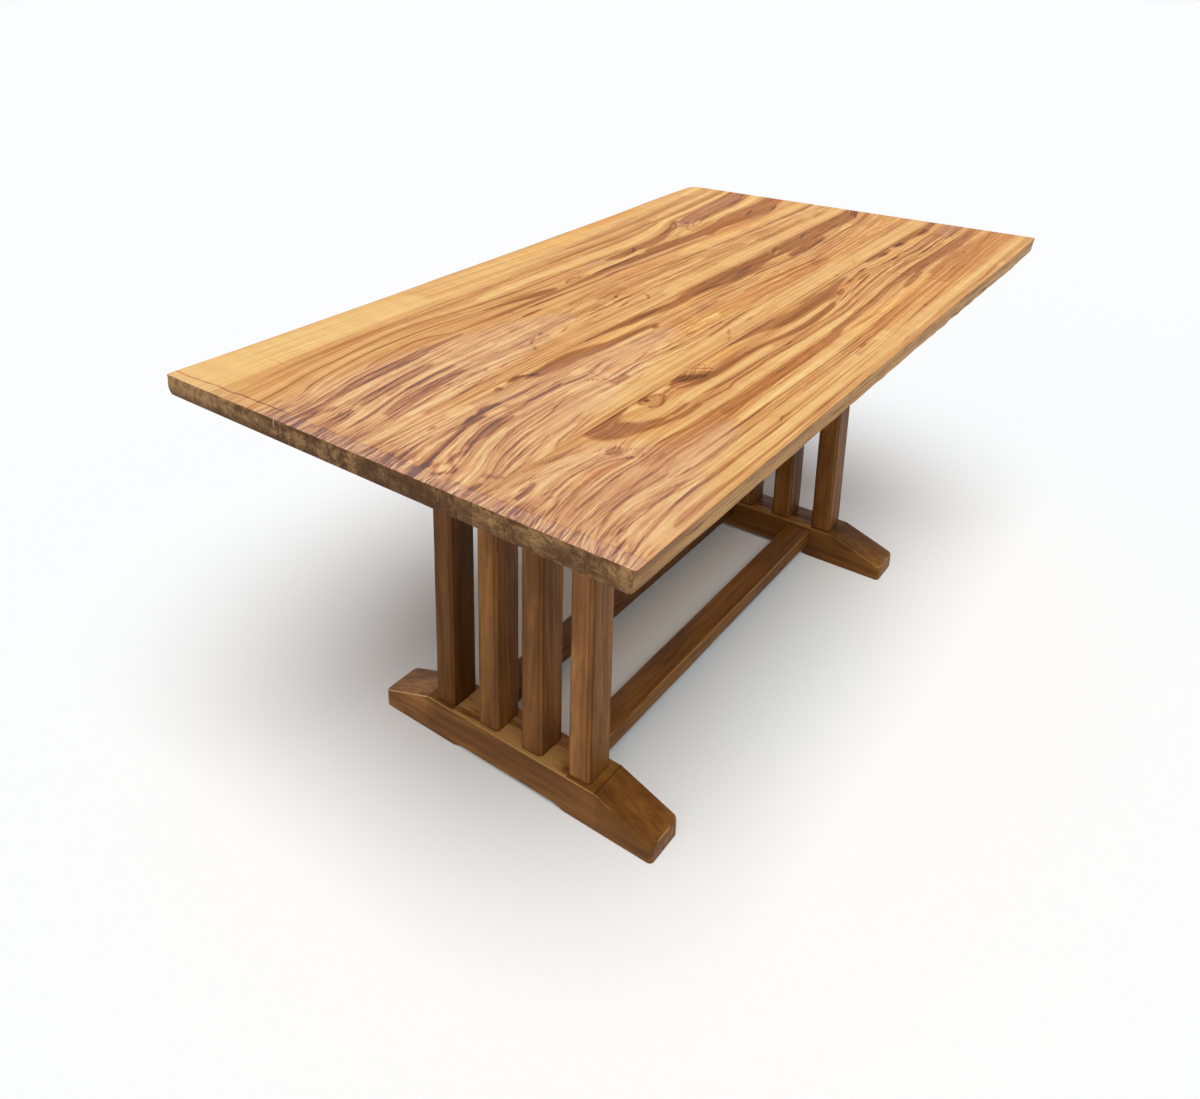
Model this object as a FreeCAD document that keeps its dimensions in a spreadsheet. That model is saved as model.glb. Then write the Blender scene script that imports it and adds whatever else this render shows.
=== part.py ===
"""Trestle dining table: three edge-glued boards on two four-post trestles.

Frame: +X along the table from the near end to the far end, +Y to its left side, +Z up.
The origin is on the floor under the middle of the top.  All sizes are in millimetres.
"""
import FreeCAD, Part
import os

import Sketcher

# Driving dimensions: alias, value, meaning.
SIZES = (
    ("table_height", 760, "floor to the face of the top"),
    ("top_length", 1710, "length of the boards"),
    ("top_thickness", 32, "thickness of the boards"),
    ("left_board_width", 440, "widest board, from its natural edge to the left seam"),
    ("middle_board_width", 202, "board between the two seams"),
    ("right_board_width", 238, "board from the right seam to its natural edge"),
    ("left_under_round", 13, "radius under the natural edge of the left board"),
    ("right_undercut", 4, "how far the right natural edge leans in at the underside"),
    ("near_left_corner_radius", 8, "plan radius of the near left corner"),
    ("far_left_corner_radius", 28, "plan radius of the far left corner"),
    ("right_corner_radius", 4, "plan radius of the two right corners"),
    ("edge_arris", 1.5, "chamfer on the upper natural edges"),
    ("tongue_length", 56, "loose tongue, across the seam"),
    ("tongue_width", 40, "loose tongue, along the seam"),
    ("tongue_thickness", 8, "loose tongue, through the board's thickness"),
    ("tongue_arris", 1, "chamfer on the four edges of a tongue that cross the seam"),
    ("tongue_count", 6, "loose tongues in a seam"),
    ("tongue_inset", 120, "end of the top to the middle of the first tongue"),
    ("tongue_clearance", 0.2, "tongue face to mortise face"),
    ("tongue_end_gap", 2, "glue space past each end of a tongue"),
    ("trestle_spread", 1000, "middle of one trestle to middle of the other"),
    ("foot_length", 596, "foot, across the table"),
    ("foot_width", 84, "foot, along the table"),
    ("foot_height", 74.5, "floor to the flat of the foot"),
    ("foot_flat", 372, "level stretch on top of the foot"),
    ("foot_tip_height", 33.5, "height of the blunt ends of the foot"),
    ("foot_relief_length", 250, "stretch of the foot that is clear of the floor"),
    ("foot_relief_depth", 7, "height of that clear stretch"),
    ("foot_relief_ramp", 20, "length of each ramp into it"),
    ("foot_corner_radius", 9, "plan radius of the foot's tips"),
    ("foot_arris", 2, "chamfer on the foot's upper arrises"),
    ("post_depth", 67, "post, along the table"),
    ("post_width", 46, "post, across the table"),
    ("post_chamfer", 6, "chamfer on the four long arrises of a post"),
    ("post_1_offset", 151, "middle of the table to the outer left posts"),
    ("post_2_offset", 49, "middle of the table to the inner left posts"),
    ("post_3_offset", -47, "middle of the table to the inner right posts"),
    ("post_4_offset", -147, "middle of the table to the outer right posts"),
    ("tenon_thickness", 26, "post tenon, along the table"),
    ("tenon_width", 33, "post tenon, across the table"),
    ("foot_tenon_length", 45, "post tenon in the foot"),
    ("bearer_tenon_length", 38, "post tenon in the bearer"),
    ("joint_clearance", 0.2, "tenon cheek to mortise cheek"),
    ("tenon_end_gap", 2, "glue space past the end of a tenon"),
    ("bearer_length", 720, "bearer, across the table"),
    ("bearer_width", 84, "bearer, along the table"),
    ("bearer_height", 60, "bearer, under the top"),
    ("bearer_flat", 372, "level stretch under the bearer"),
    ("bearer_tip_height", 26, "height of the bearer's ends"),
    ("bearer_arris", 2, "chamfer on the bearer's lower arrises"),
    ("stretcher_width", 55, "stretcher, across the table"),
    ("stretcher_height", 33.5, "stretcher, top to bottom"),
    ("stretcher_offset", 101.5, "middle of the table to the middle of a stretcher"),
    ("stretcher_lift", 34, "floor to the underside of a stretcher"),
    ("stretcher_arris", 3, "chamfer on the long arrises of a stretcher"),
    ("stretcher_tenon_width", 38, "stretcher tenon, across the table"),
    ("stretcher_tenon_thickness", 15, "stretcher tenon, top to bottom"),
    ("stretcher_tenon_length", 48, "stretcher tenon in the foot"),
    ("screw_length", 60, "coach screw, under its head"),
    ("screw_bite", 20, "length of the screw in the top"),
    ("screw_point_length", 8, "taper at the end of the screw"),
    ("screw_shank_diameter", 6, "shank of the screw"),
    ("screw_head_flats", 10, "hexagon head of the screw, across its flats"),
    ("screw_head_height", 4, "height of that head"),
    ("screw_clearance", 0.3, "shank to the wall of its pilot hole or washer"),
    ("screw_hole_diameter", 7.2, "hole through the bearer"),
    ("screw_slot_run", 8, "how far an outer screw can move with the top"),
    ("inner_screw_offset", 99, "middle of the table to the screws between the posts"),
    ("outer_screw_offset", 250, "middle of the table to the outer screws"),
    ("counterbore_diameter", 22, "recess for the head and washer"),
    ("washer_diameter", 18, "flat washer, outside"),
    ("washer_thickness", 1.6, "flat washer, thickness"),
)

# Sizes that follow from the driving ones: alias, formula.
DERIVED = (
    ("top_half_length", "top_length / 2"),
    ("top_half_width", "(left_board_width + middle_board_width + right_board_width) / 2"),
    ("left_seam", "top_half_width - left_board_width"),
    ("right_seam", "left_seam - middle_board_width"),
    ("top_underside", "table_height - top_thickness"),
    ("tongue_level", "top_underside + top_thickness / 2"),
    ("tongue_run", "top_length - 2 * tongue_inset"),
    ("first_tongue", "top_half_length - tongue_inset"),
    ("tongue_half_width", "tongue_width / 2"),
    ("tongue_half_thickness", "tongue_thickness / 2"),
    ("mortise_half_width", "tongue_half_width + tongue_clearance"),
    ("mortise_half_thickness", "tongue_half_thickness + tongue_clearance"),
    ("mortise_depth", "tongue_length / 2 + tongue_end_gap"),
    ("trestle_half_spread", "trestle_spread / 2"),
    ("foot_half_length", "foot_length / 2"),
    ("foot_half_width", "foot_width / 2"),
    ("foot_half_flat", "foot_flat / 2"),
    ("relief_outer", "foot_relief_length / 2"),
    ("relief_inner", "relief_outer - foot_relief_ramp"),
    ("post_half_depth", "post_depth / 2"),
    ("post_half_width", "post_width / 2"),
    ("post_height", "bearer_underside - foot_height"),
    ("tenon_half_thickness", "tenon_thickness / 2"),
    ("tenon_half_width", "tenon_width / 2"),
    ("tenon_span", "foot_tenon_length + post_height + bearer_tenon_length"),
    ("post_mortise_half_thickness", "tenon_half_thickness + joint_clearance"),
    ("post_mortise_half_width", "tenon_half_width + joint_clearance"),
    ("foot_mortise_depth", "foot_tenon_length + tenon_end_gap"),
    ("bearer_mortise_depth", "bearer_tenon_length + tenon_end_gap"),
    ("bearer_half_length", "bearer_length / 2"),
    ("bearer_half_flat", "bearer_flat / 2"),
    ("bearer_shoulder", "bearer_height - bearer_tip_height"),
    ("bearer_underside", "top_underside - bearer_height"),
    ("stretcher_half_width", "stretcher_width / 2"),
    ("stretcher_half_height", "stretcher_height / 2"),
    ("stretcher_level", "stretcher_lift + stretcher_half_height"),
    ("stretcher_span", "trestle_spread - foot_width"),
    ("stretcher_tenon_span", "stretcher_span + 2 * stretcher_tenon_length"),
    ("stretcher_tenon_half_width", "stretcher_tenon_width / 2"),
    ("stretcher_tenon_half_thickness", "stretcher_tenon_thickness / 2"),
    ("rail_mortise_half_width", "stretcher_tenon_half_width + joint_clearance"),
    ("rail_mortise_half_thickness", "stretcher_tenon_half_thickness + joint_clearance"),
    ("rail_mortise_depth", "stretcher_tenon_length + tenon_end_gap"),
    ("screw_radius", "screw_shank_diameter / 2"),
    ("screw_flat_reach", "screw_head_flats / 2"),
    ("screw_corner_reach", "screw_head_flats / sqrt(3)"),
    ("screw_corner_rise", "screw_corner_reach / 2"),
    ("screw_shank_length", "screw_length - screw_point_length"),
    ("screw_seat", "top_underside + screw_bite - screw_length"),
    ("washer_radius", "washer_diameter / 2"),
    ("washer_hole_radius", "screw_radius + screw_clearance"),
    ("pilot_radius", "screw_radius + screw_clearance"),
    ("pilot_depth", "screw_bite + 2 * screw_clearance"),
    ("screw_hole_radius", "screw_hole_diameter / 2"),
    ("slot_half_run", "screw_slot_run / 2"),
    ("counterbore_radius", "counterbore_diameter / 2"),
    ("counterbore_depth", "screw_seat + washer_thickness - bearer_underside"),
)

# Natural edges, station by station: how far along from the middle, as a share of the top's
# length, and how far the edge stands out there, as a share of half its width.
LEFT_EDGE = (
    (-0.50, 0.0), (-0.41, -0.007), (-0.33, -0.009), (-0.22, -0.011), (-0.12, -0.008), (0.0, -0.007),
    (0.12, -0.002), (0.25, 0.0035), (0.33, 0.0125), (0.41, 0.0215), (0.50, 0.0205),
)
RIGHT_EDGE = (
    (-0.50, -0.007), (-0.36, -0.008), (-0.24, -0.008), (-0.14, -0.006), (0.0, -0.0035),
    (0.12, -0.002), (0.23, 0.0), (0.32, 0.0035), (0.38, 0.0065), (0.50, 0.0025),
)

POSTS = (("1", "post_1_offset"), ("2", "post_2_offset"),
         ("3", "post_3_offset"), ("4", "post_4_offset"))
TRESTLES = (("near", "-trestle_half_spread", False), ("far", "trestle_half_spread", True))

DOC = FreeCAD.newDocument("trestle_dining_table")
SHEET = DOC.addObject("Spreadsheet::Sheet", "sizes")


def fill_sheet():
    """Write the driving sizes and the formulas that follow from them."""
    for row, (alias, value, meaning) in enumerate(SIZES, start=1):
        SHEET.set(f"A{row}", meaning)
        SHEET.set(f"B{row}", str(value))
        SHEET.setAlias(f"B{row}", alias)
    for row, (alias, _) in enumerate(DERIVED, start=len(SIZES) + 1):
        SHEET.setAlias(f"B{row}", alias)
    for row, (alias, formula) in enumerate(DERIVED, start=len(SIZES) + 1):
        SHEET.set(f"B{row}", "=" + formula)
    DOC.recompute()


def size(name):
    """Value of a signed alias such as -foot_half_length, or of "0"."""
    if name == "0":
        return 0.0
    value = float(SHEET.get(name.lstrip("-")))
    return -value if name.startswith("-") else value


def link(name):
    """Expression that reads a signed alias from the sheet."""
    sign = "-" if name.startswith("-") else ""
    return sign + "sizes." + name.lstrip("-")


def place(item, along="0", across="0", up="0", turned=False):
    """Tie an object's place to the sheet; turned objects face the other way along the table."""
    if turned:
        half_turn = FreeCAD.Rotation(FreeCAD.Vector(0, 0, 1), 180)
        item.Placement = FreeCAD.Placement(FreeCAD.Vector(), half_turn)
    for axis, name in (("x", along), ("y", across), ("z", up)):
        if name != "0":
            item.setExpression("Placement.Base." + axis, link(name))


def new_body(label):
    """Empty PartDesign body with its label."""
    body = DOC.addObject("PartDesign::Body", label)
    body.Label = label
    return body


def new_sketch(body, name, role, offset="0"):
    """Sketch on one of the body's origin planes, moved along its normal."""
    plane = next(item for item in body.Origin.OriginFeatures if item.Role == role)
    sketch = body.newObject("Sketcher::SketchObject", name)
    sketch.AttachmentSupport = [(plane, "")]
    sketch.MapMode = "FlatFace"
    if offset != "0":
        sketch.setExpression("AttachmentOffset.Base.z", link(offset))
    return sketch


def pin(sketch, axis, vertex, name):
    """Hold one coordinate of a sketch point at a signed size of the sheet."""
    geometry, end = vertex
    if name == "0":
        across = {"X": -2, "Y": -1}[axis]
        sketch.addConstraint(Sketcher.Constraint("PointOnObject", geometry, end, across))
        return
    constraint = Sketcher.Constraint("Distance" + axis, -1, 1, geometry, end, size(name))
    index = sketch.addConstraint(constraint)
    sketch.setExpression(f"Constraints[{index}]", link(name))


def draw_outline(sketch, corners):
    """Closed outline of straight lines; each corner is a pair of signed aliases."""
    points = [FreeCAD.Vector(size(x), size(y), 0) for x, y in corners]
    start = sketch.GeometryCount
    count = len(points)
    for index, point in enumerate(points):
        sketch.addGeometry(Part.LineSegment(point, points[(index + 1) % count]))
    for index, (x, y) in enumerate(corners):
        following = start + (index + 1) % count
        sketch.addConstraint(Sketcher.Constraint("Coincident", start + index, 2, following, 1))
        pin(sketch, "X", (start + index, 1), x)
        pin(sketch, "Y", (start + index, 1), y)


def draw_circle(sketch, x, y, radius):
    """Circle about a pinned middle."""
    middle = FreeCAD.Vector(size(x), size(y), 0)
    circle = sketch.addGeometry(Part.Circle(middle, FreeCAD.Vector(0, 0, 1), size(radius)))
    pin(sketch, "X", (circle, 3), x)
    pin(sketch, "Y", (circle, 3), y)
    index = sketch.addConstraint(Sketcher.Constraint("Radius", circle, size(radius)))
    sketch.setExpression(f"Constraints[{index}]", link(radius))


def draw_box(sketch, x, y, half_x, half_y):
    """Rectangle about a pinned middle, held by its half sizes."""
    middle = FreeCAD.Vector(size(x), size(y), 0)
    reach_x, reach_y = size(half_x), size(half_y)
    turns = ((-1, -1), (1, -1), (1, 1), (-1, 1))
    points = [middle + FreeCAD.Vector(sx * reach_x, sy * reach_y, 0) for sx, sy in turns]
    start = sketch.GeometryCount
    for index, point in enumerate(points):
        sketch.addGeometry(Part.LineSegment(point, points[(index + 1) % 4]))
    for index, kind in enumerate(("Horizontal", "Vertical", "Horizontal", "Vertical")):
        line, following = start + index, start + (index + 1) % 4
        sketch.addConstraint(Sketcher.Constraint(kind, line))
        sketch.addConstraint(Sketcher.Constraint("Coincident", line, 2, following, 1))
    heart = sketch.addGeometry(Part.Point(middle), True)
    pin(sketch, "X", (heart, 1), x)
    pin(sketch, "Y", (heart, 1), y)
    sketch.addConstraint(Sketcher.Constraint("Symmetric", start, 1, start + 2, 1, heart, 1))
    for axis, name, reach in (("X", half_x, reach_x), ("Y", half_y, reach_y)):
        constraint = Sketcher.Constraint("Distance" + axis, start, 1, start + 2, 1, 2 * reach)
        index = sketch.addConstraint(constraint)
        sketch.setExpression(f"Constraints[{index}]", "2 * " + link(name))


def draw_slot(sketch, x, y, half_run, radius):
    """Round-ended slot along the sketch's Y, about a pinned middle."""
    middle = FreeCAD.Vector(size(x), size(y), 0)
    run, width = size(half_run), size(radius)
    along, side = FreeCAD.Vector(0, 1, 0), FreeCAD.Vector(-1, 0, 0)
    start = sketch.GeometryCount
    for sign in (1, -1):
        centre = middle + along * (sign * run)
        first, last = centre - side * (sign * width), centre + side * (sign * width)
        sketch.addGeometry(Part.Arc(first, centre + along * (sign * width), last))
        sketch.addGeometry(Part.LineSegment(last, last - along * (2 * sign * run)))
    cap_a, line_a, cap_b, line_b = range(start, start + 4)
    for before, after in ((cap_a, line_a), (line_a, cap_b), (cap_b, line_b), (line_b, cap_a)):
        sketch.addConstraint(Sketcher.Constraint("Tangent", before, 2, after, 1))
    heart = sketch.addGeometry(Part.Point(middle), True)
    pin(sketch, "X", (heart, 1), x)
    pin(sketch, "Y", (heart, 1), y)
    sketch.addConstraint(Sketcher.Constraint("Symmetric", cap_a, 3, cap_b, 3, heart, 1))
    sketch.addConstraint(Sketcher.Constraint("Vertical", line_a))
    sketch.addConstraint(Sketcher.Constraint("Equal", cap_a, cap_b))
    span = sketch.addConstraint(Sketcher.Constraint("DistanceY", cap_b, 3, cap_a, 3, 2 * run))
    sketch.setExpression(f"Constraints[{span}]", "2 * " + link(half_run))
    bend = sketch.addConstraint(Sketcher.Constraint("Radius", cap_a, width))
    sketch.setExpression(f"Constraints[{bend}]", link(radius))


def pad(body, sketch, name, length, symmetric=False):
    """Raise a sketch by a size of the sheet."""
    feature = body.newObject("PartDesign::Pad", name)
    feature.Profile = sketch
    feature.SideType = "Symmetric" if symmetric else "One side"
    feature.setExpression("Length", link(length))
    DOC.recompute()
    return feature


def pocket(body, sketch, name, depth=None, backward=False):
    """Cut a sketch to a depth, or right through; the volume shows that it cut."""
    before = body.Shape.Volume
    feature = body.newObject("PartDesign::Pocket", name)
    feature.Profile = sketch
    feature.Reversed = backward
    if depth is None:
        feature.Type = "ThroughAll"
    else:
        feature.setExpression("Length", link(depth))
    DOC.recompute()
    if body.Shape.Volume >= before - 1.0:
        raise RuntimeError(f"{body.Label}: {name} cuts nothing")
    return feature


def edges_where(shape, test):
    """Names of the edges whose middle and direction pass a test."""
    found = []
    for index, edge in enumerate(shape.Edges, start=1):
        middle = edge.valueAt((edge.FirstParameter + edge.LastParameter) / 2)
        run = edge.valueAt(edge.LastParameter) - edge.valueAt(edge.FirstParameter)
        if test(middle, run):
            found.append(f"Edge{index}")
    return found


def soften(body, kind, name, base, radius, test):
    """Fillet or chamfer the edges of a feature that pass a test."""
    feature = body.newObject("PartDesign::" + kind, name)
    feature.Base = (base, edges_where(base.Shape, test))
    feature.setExpression("Radius" if kind == "Fillet" else "Size", link(radius))
    DOC.recompute()
    return feature


def upright_edge(run):
    """Whether an edge stands along Z."""
    return abs(run.x) + abs(run.y) < 1e-6 < abs(run.z)


# ---------------------------------------------------------------- top boards

def natural_edge(stations, side, inset, height):
    """Wavy long edge of a board, as a spline through its stations."""
    length, half_width = size("top_length"), size("top_half_width")
    points = [FreeCAD.Vector(along * length, side * (half_width * (1 + wave) - inset), height)
              for along, wave in stations]
    curve = Part.BSplineCurve()
    curve.interpolate(points)
    return curve.toShape()


def natural_plan(stations, side, seam, inset, height):
    """Outline of a board: natural edge, two sawn ends and the straight seam."""
    outer = natural_edge(stations, side, inset, height)
    half = size("top_half_length")
    near, far = outer.Vertexes[0].Point, outer.Vertexes[-1].Point
    seam_far = FreeCAD.Vector(half, seam, height)
    seam_near = FreeCAD.Vector(-half, seam, height)
    ends = [Part.makeLine(a, b) for a, b in ((far, seam_far), (seam_far, seam_near), (seam_near, near))]
    return Part.Wire([outer] + ends)


def edge_picks(solid, test):
    """Edges of a plain shape that pass a test."""
    return [solid.Edges[int(name[4:]) - 1] for name in edges_where(solid, test)]


def long_edge(side, height):
    """Test for the long natural edge at one level of a board."""
    def test(middle, run):
        outer = side * middle.y > size("top_half_width") - size("left_board_width") / 4
        return outer and abs(middle.z - height) < 0.01 and abs(run.x) > size("top_half_length")
    return test


def corner_cut(stations, side, far, radius):
    """Waste outside a rounded plan corner of the top."""
    reach = 1 if far else -1
    along, wave = stations[-1 if far else 0]
    middle = FreeCAD.Vector(along * size("top_length") - reach * radius,
                            side * (size("top_half_width") * (1 + wave) - radius),
                            size("top_underside"))
    opposite = middle + FreeCAD.Vector(2 * reach * radius, 2 * side * radius, 0)
    low = FreeCAD.Vector(min(middle.x, opposite.x), min(middle.y, opposite.y), middle.z)
    block = Part.makeBox(2 * radius, 2 * radius, size("top_thickness"), low)
    return block.cut(Part.makeCylinder(radius, size("top_thickness"), middle))


def seam_cuts(seam, side):
    """Mortises for the tongues on one side of a seam."""
    half_width, half_thickness = size("mortise_half_width"), size("mortise_half_thickness")
    depth = size("mortise_depth")
    start = FreeCAD.Vector(-size("first_tongue") - half_width, seam if side > 0 else seam - depth,
                           size("tongue_level") - half_thickness)
    pitch = FreeCAD.Vector(size("tongue_run") / (size("tongue_count") - 1), 0, 0)
    return [Part.makeBox(2 * half_width, depth, 2 * half_thickness, start + pitch * step)
            for step in range(int(size("tongue_count")))]


def pilot_cuts(offsets):
    """Blind holes from the underside for the bearer screws, at both trestles."""
    start = FreeCAD.Vector(0, 0, size("top_underside"))
    return [Part.makeCylinder(size("pilot_radius"), size("pilot_depth"),
                              start + FreeCAD.Vector(size(along), size(offset), 0))
            for _, along, _ in TRESTLES for offset in offsets]


def add_board(label, solid, cuts):
    """Board whose outline is a free curve, kept as a plain shape."""
    board = DOC.addObject("Part::Feature", label)
    board.Label = label
    board.Shape = solid.cut(cuts).removeSplitter().Solids[0]
    board.Placement = FreeCAD.Placement()


def make_left_board():
    """Widest board: rounded under its natural edge, its far corner worn round."""
    underside, face = size("top_underside"), size("table_height")
    plan = natural_plan(LEFT_EDGE, 1, size("left_seam"), 0.0, underside)
    solid = Part.Face(plan).extrude(FreeCAD.Vector(0, 0, size("top_thickness")))
    solid = solid.makeFillet(size("left_under_round"), edge_picks(solid, long_edge(1, underside)))
    solid = solid.makeChamfer(size("edge_arris"), edge_picks(solid, long_edge(1, face)))
    corners = [corner_cut(LEFT_EDGE, 1, False, size("near_left_corner_radius")),
               corner_cut(LEFT_EDGE, 1, True, size("far_left_corner_radius"))]
    pilots = pilot_cuts(("inner_screw_offset", "outer_screw_offset"))
    add_board("left_board", solid, corners + seam_cuts(size("left_seam"), 1) + pilots)


def make_right_board():
    """Board with the knots: its natural edge leans in towards the underside."""
    underside, face = size("top_underside"), size("table_height")
    lower = natural_plan(RIGHT_EDGE, -1, size("right_seam"), size("right_undercut"), underside)
    upper = natural_plan(RIGHT_EDGE, -1, size("right_seam"), 0.0, face)
    solid = Part.makeLoft([lower, upper], True, True)
    solid = solid.makeChamfer(size("edge_arris"), edge_picks(solid, long_edge(-1, face)))
    corners = [corner_cut(RIGHT_EDGE, -1, far, size("right_corner_radius")) for far in (False, True)]
    pilots = pilot_cuts(("-outer_screw_offset",))
    add_board("right_board", solid, corners + seam_cuts(size("right_seam"), -1) + pilots)


def make_middle_board():
    """Straight board between the seams, mortised on both edges."""
    body = new_body("middle_board")
    plan = new_sketch(body, "middle_plan", "XY_Plane", "top_underside")
    draw_outline(plan, [("-top_half_length", "right_seam"), ("top_half_length", "right_seam"),
                        ("top_half_length", "left_seam"), ("-top_half_length", "left_seam")])
    pad(body, plan, "middle_pad", "top_thickness")
    pilots = new_sketch(body, "middle_pilots", "XY_Plane", "top_underside")
    for _, along, _ in TRESTLES:
        draw_circle(pilots, along, "-inner_screw_offset", "pilot_radius")
    pocket(body, pilots, "middle_pilot_holes", "pilot_depth", backward=True)
    for seam, name, backward in (("left_seam", "left", True), ("right_seam", "right", False)):
        section = new_sketch(body, f"{name}_mortise_section", "XZ_Plane", "-" + seam)
        draw_box(section, "-first_tongue", "tongue_level", "mortise_half_width", "mortise_half_thickness")
        first = pocket(body, section, f"{name}_mortise", "mortise_depth", backward)
        row = body.newObject("PartDesign::LinearPattern", f"{name}_mortise_row")
        row.Originals = [first]
        row.Direction = (section, ["H_Axis"])
        row.setExpression("Length", link("tongue_run"))
        row.setExpression("Occurrences", link("tongue_count"))
        body.Tip = row
        DOC.recompute()


# ---------------------------------------------------------------- loose tongues

def make_tongue():
    """One loose tongue, lying across its seam, with eased edges."""
    body = new_body("tongue")
    section = new_sketch(body, "tongue_section", "XZ_Plane")
    draw_box(section, "0", "0", "tongue_half_width", "tongue_half_thickness")
    block = pad(body, section, "tongue_pad", "tongue_length", symmetric=True)
    soften(body, "Chamfer", "tongue_arrises", block, "tongue_arris",
           lambda middle, run: abs(run.y) > size("tongue_thickness"))
    return body


def make_group(label, master, places):
    """Separate copies of one piece in one node; each place is three expressions."""
    copies = []
    for number, spot in enumerate(places, start=1):
        copy = DOC.addObject("App::Link", f"{label}_{number}")
        copy.LinkedObject = master
        for axis, expression in zip("xyz", spot):
            copy.setExpression("Placement.Base." + axis, expression)
        copies.append(copy)
    group = DOC.addObject("Part::Compound", label)
    group.Label = label
    group.Links = copies


def make_tongues():
    """Tongues of both seams."""
    tongue = make_tongue()
    for label, seam in (("left_seam_tongues", "left_seam"), ("right_seam_tongues", "right_seam")):
        places = []
        for step in range(int(size("tongue_count"))):
            along = f"-sizes.first_tongue + {step} * sizes.tongue_run / (sizes.tongue_count - 1)"
            places.append((along, link(seam), link("tongue_level")))
        make_group(label, tongue, places)


# ---------------------------------------------------------------- trestles

def draw_post_mortises(sketch, turned=False):
    """Four mortises in a row across the table; a turned piece is drawn the other way round."""
    sign = "-" if turned else ""
    for _, across in POSTS:
        draw_box(sketch, "0", sign + across, "post_mortise_half_thickness", "post_mortise_half_width")


def foot_top_edge(middle, run):
    """Whether an edge bounds the upper faces of the foot, corners of the tips included."""
    height, half_flat = size("foot_height"), size("foot_half_flat")
    slope = (height - size("foot_tip_height")) / (size("foot_half_length") - half_flat)
    drop = max(0.0, abs(middle.y) - half_flat) * slope
    on_top = abs(middle.z - (height - drop)) < 0.05
    ridge = abs(run.y) < 0.01 and abs(abs(middle.y) - half_flat) < 0.01
    return on_top and not ridge


def foot_tip_edge(middle, run):
    """Whether an edge is an upright corner of a foot's tips."""
    return upright_edge(run) and abs(abs(middle.y) - size("foot_half_length")) < 0.01


def make_foot(trestle, along, turned):
    """Foot with sloping ends and a relieved underside, mortised for posts and stretchers."""
    body = new_body(f"{trestle}_foot")
    profile = new_sketch(body, f"{trestle}_foot_profile", "YZ_Plane")
    draw_outline(profile, [
        ("-foot_half_length", "0"), ("-relief_outer", "0"), ("-relief_inner", "foot_relief_depth"),
        ("relief_inner", "foot_relief_depth"), ("relief_outer", "0"), ("foot_half_length", "0"),
        ("foot_half_length", "foot_tip_height"), ("foot_half_flat", "foot_height"),
        ("-foot_half_flat", "foot_height"), ("-foot_half_length", "foot_tip_height")])
    block = pad(body, profile, f"{trestle}_foot_pad", "foot_width", symmetric=True)
    tips = soften(body, "Fillet", f"{trestle}_foot_corners", block, "foot_corner_radius",
                  foot_tip_edge)
    soften(body, "Chamfer", f"{trestle}_foot_arrises", tips, "foot_arris", foot_top_edge)
    posts = new_sketch(body, f"{trestle}_foot_post_mortises", "XY_Plane", "foot_height")
    draw_post_mortises(posts, turned)
    pocket(body, posts, f"{trestle}_foot_post_pockets", "foot_mortise_depth")
    rails = new_sketch(body, f"{trestle}_foot_rail_mortises", "YZ_Plane", "foot_half_width")
    for across in ("stretcher_offset", "-stretcher_offset"):
        draw_box(rails, across, "stretcher_level",
                 "rail_mortise_half_width", "rail_mortise_half_thickness")
    pocket(body, rails, f"{trestle}_foot_rail_pockets", "rail_mortise_depth")
    place(body, along=along, turned=turned)


def make_post(trestle, along, number, across):
    """Chamfered post with a blind tenon at each end."""
    body = new_body(f"{trestle}_post_{number}")
    section = new_sketch(body, f"{body.Label}_section", "XY_Plane")
    draw_box(section, "0", "0", "post_half_depth", "post_half_width")
    shaft = pad(body, section, f"{body.Label}_shaft", "post_height")
    soften(body, "Chamfer", f"{body.Label}_chamfers", shaft, "post_chamfer",
           lambda middle, run: upright_edge(run))
    tenons = new_sketch(body, f"{body.Label}_tenon_section", "XY_Plane", "-foot_tenon_length")
    draw_box(tenons, "0", "0", "tenon_half_thickness", "tenon_half_width")
    pad(body, tenons, f"{body.Label}_tenons", "tenon_span")
    place(body, along=along, across=across, up="foot_height")


def bearer_low_edge(middle, run):
    """Whether an edge runs along the underside of a bearer."""
    below_top = middle.z < size("bearer_height") - 0.01
    return below_top and abs(run.x) < 0.01 and abs(run.y) > 0.01


def make_bearer(trestle, along):
    """Rail under the top: tapered ends, post mortises, and counterbored screw holes."""
    body = new_body(f"{trestle}_bearer")
    profile = new_sketch(body, f"{trestle}_bearer_profile", "YZ_Plane")
    draw_outline(profile, [
        ("-bearer_half_flat", "0"), ("bearer_half_flat", "0"),
        ("bearer_half_length", "bearer_shoulder"), ("bearer_half_length", "bearer_height"),
        ("-bearer_half_length", "bearer_height"), ("-bearer_half_length", "bearer_shoulder")])
    block = pad(body, profile, f"{trestle}_bearer_pad", "bearer_width", symmetric=True)
    soften(body, "Chamfer", f"{trestle}_bearer_arrises", block, "bearer_arris", bearer_low_edge)
    posts = new_sketch(body, f"{trestle}_bearer_post_mortises", "XY_Plane")
    draw_post_mortises(posts)
    pocket(body, posts, f"{trestle}_bearer_post_pockets", "bearer_mortise_depth", backward=True)
    for name, radius, depth in (("counterbores", "counterbore_radius", "counterbore_depth"),
                                ("screw_holes", "screw_hole_radius", None)):
        holes = new_sketch(body, f"{trestle}_bearer_{name}_plan", "XY_Plane")
        for sign in ("", "-"):
            draw_circle(holes, "0", sign + "inner_screw_offset", radius)
            draw_slot(holes, "0", sign + "outer_screw_offset", "slot_half_run", radius)
        pocket(body, holes, f"{trestle}_bearer_{name}", depth, backward=True)
    place(body, along=along, up="bearer_underside")


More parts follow.
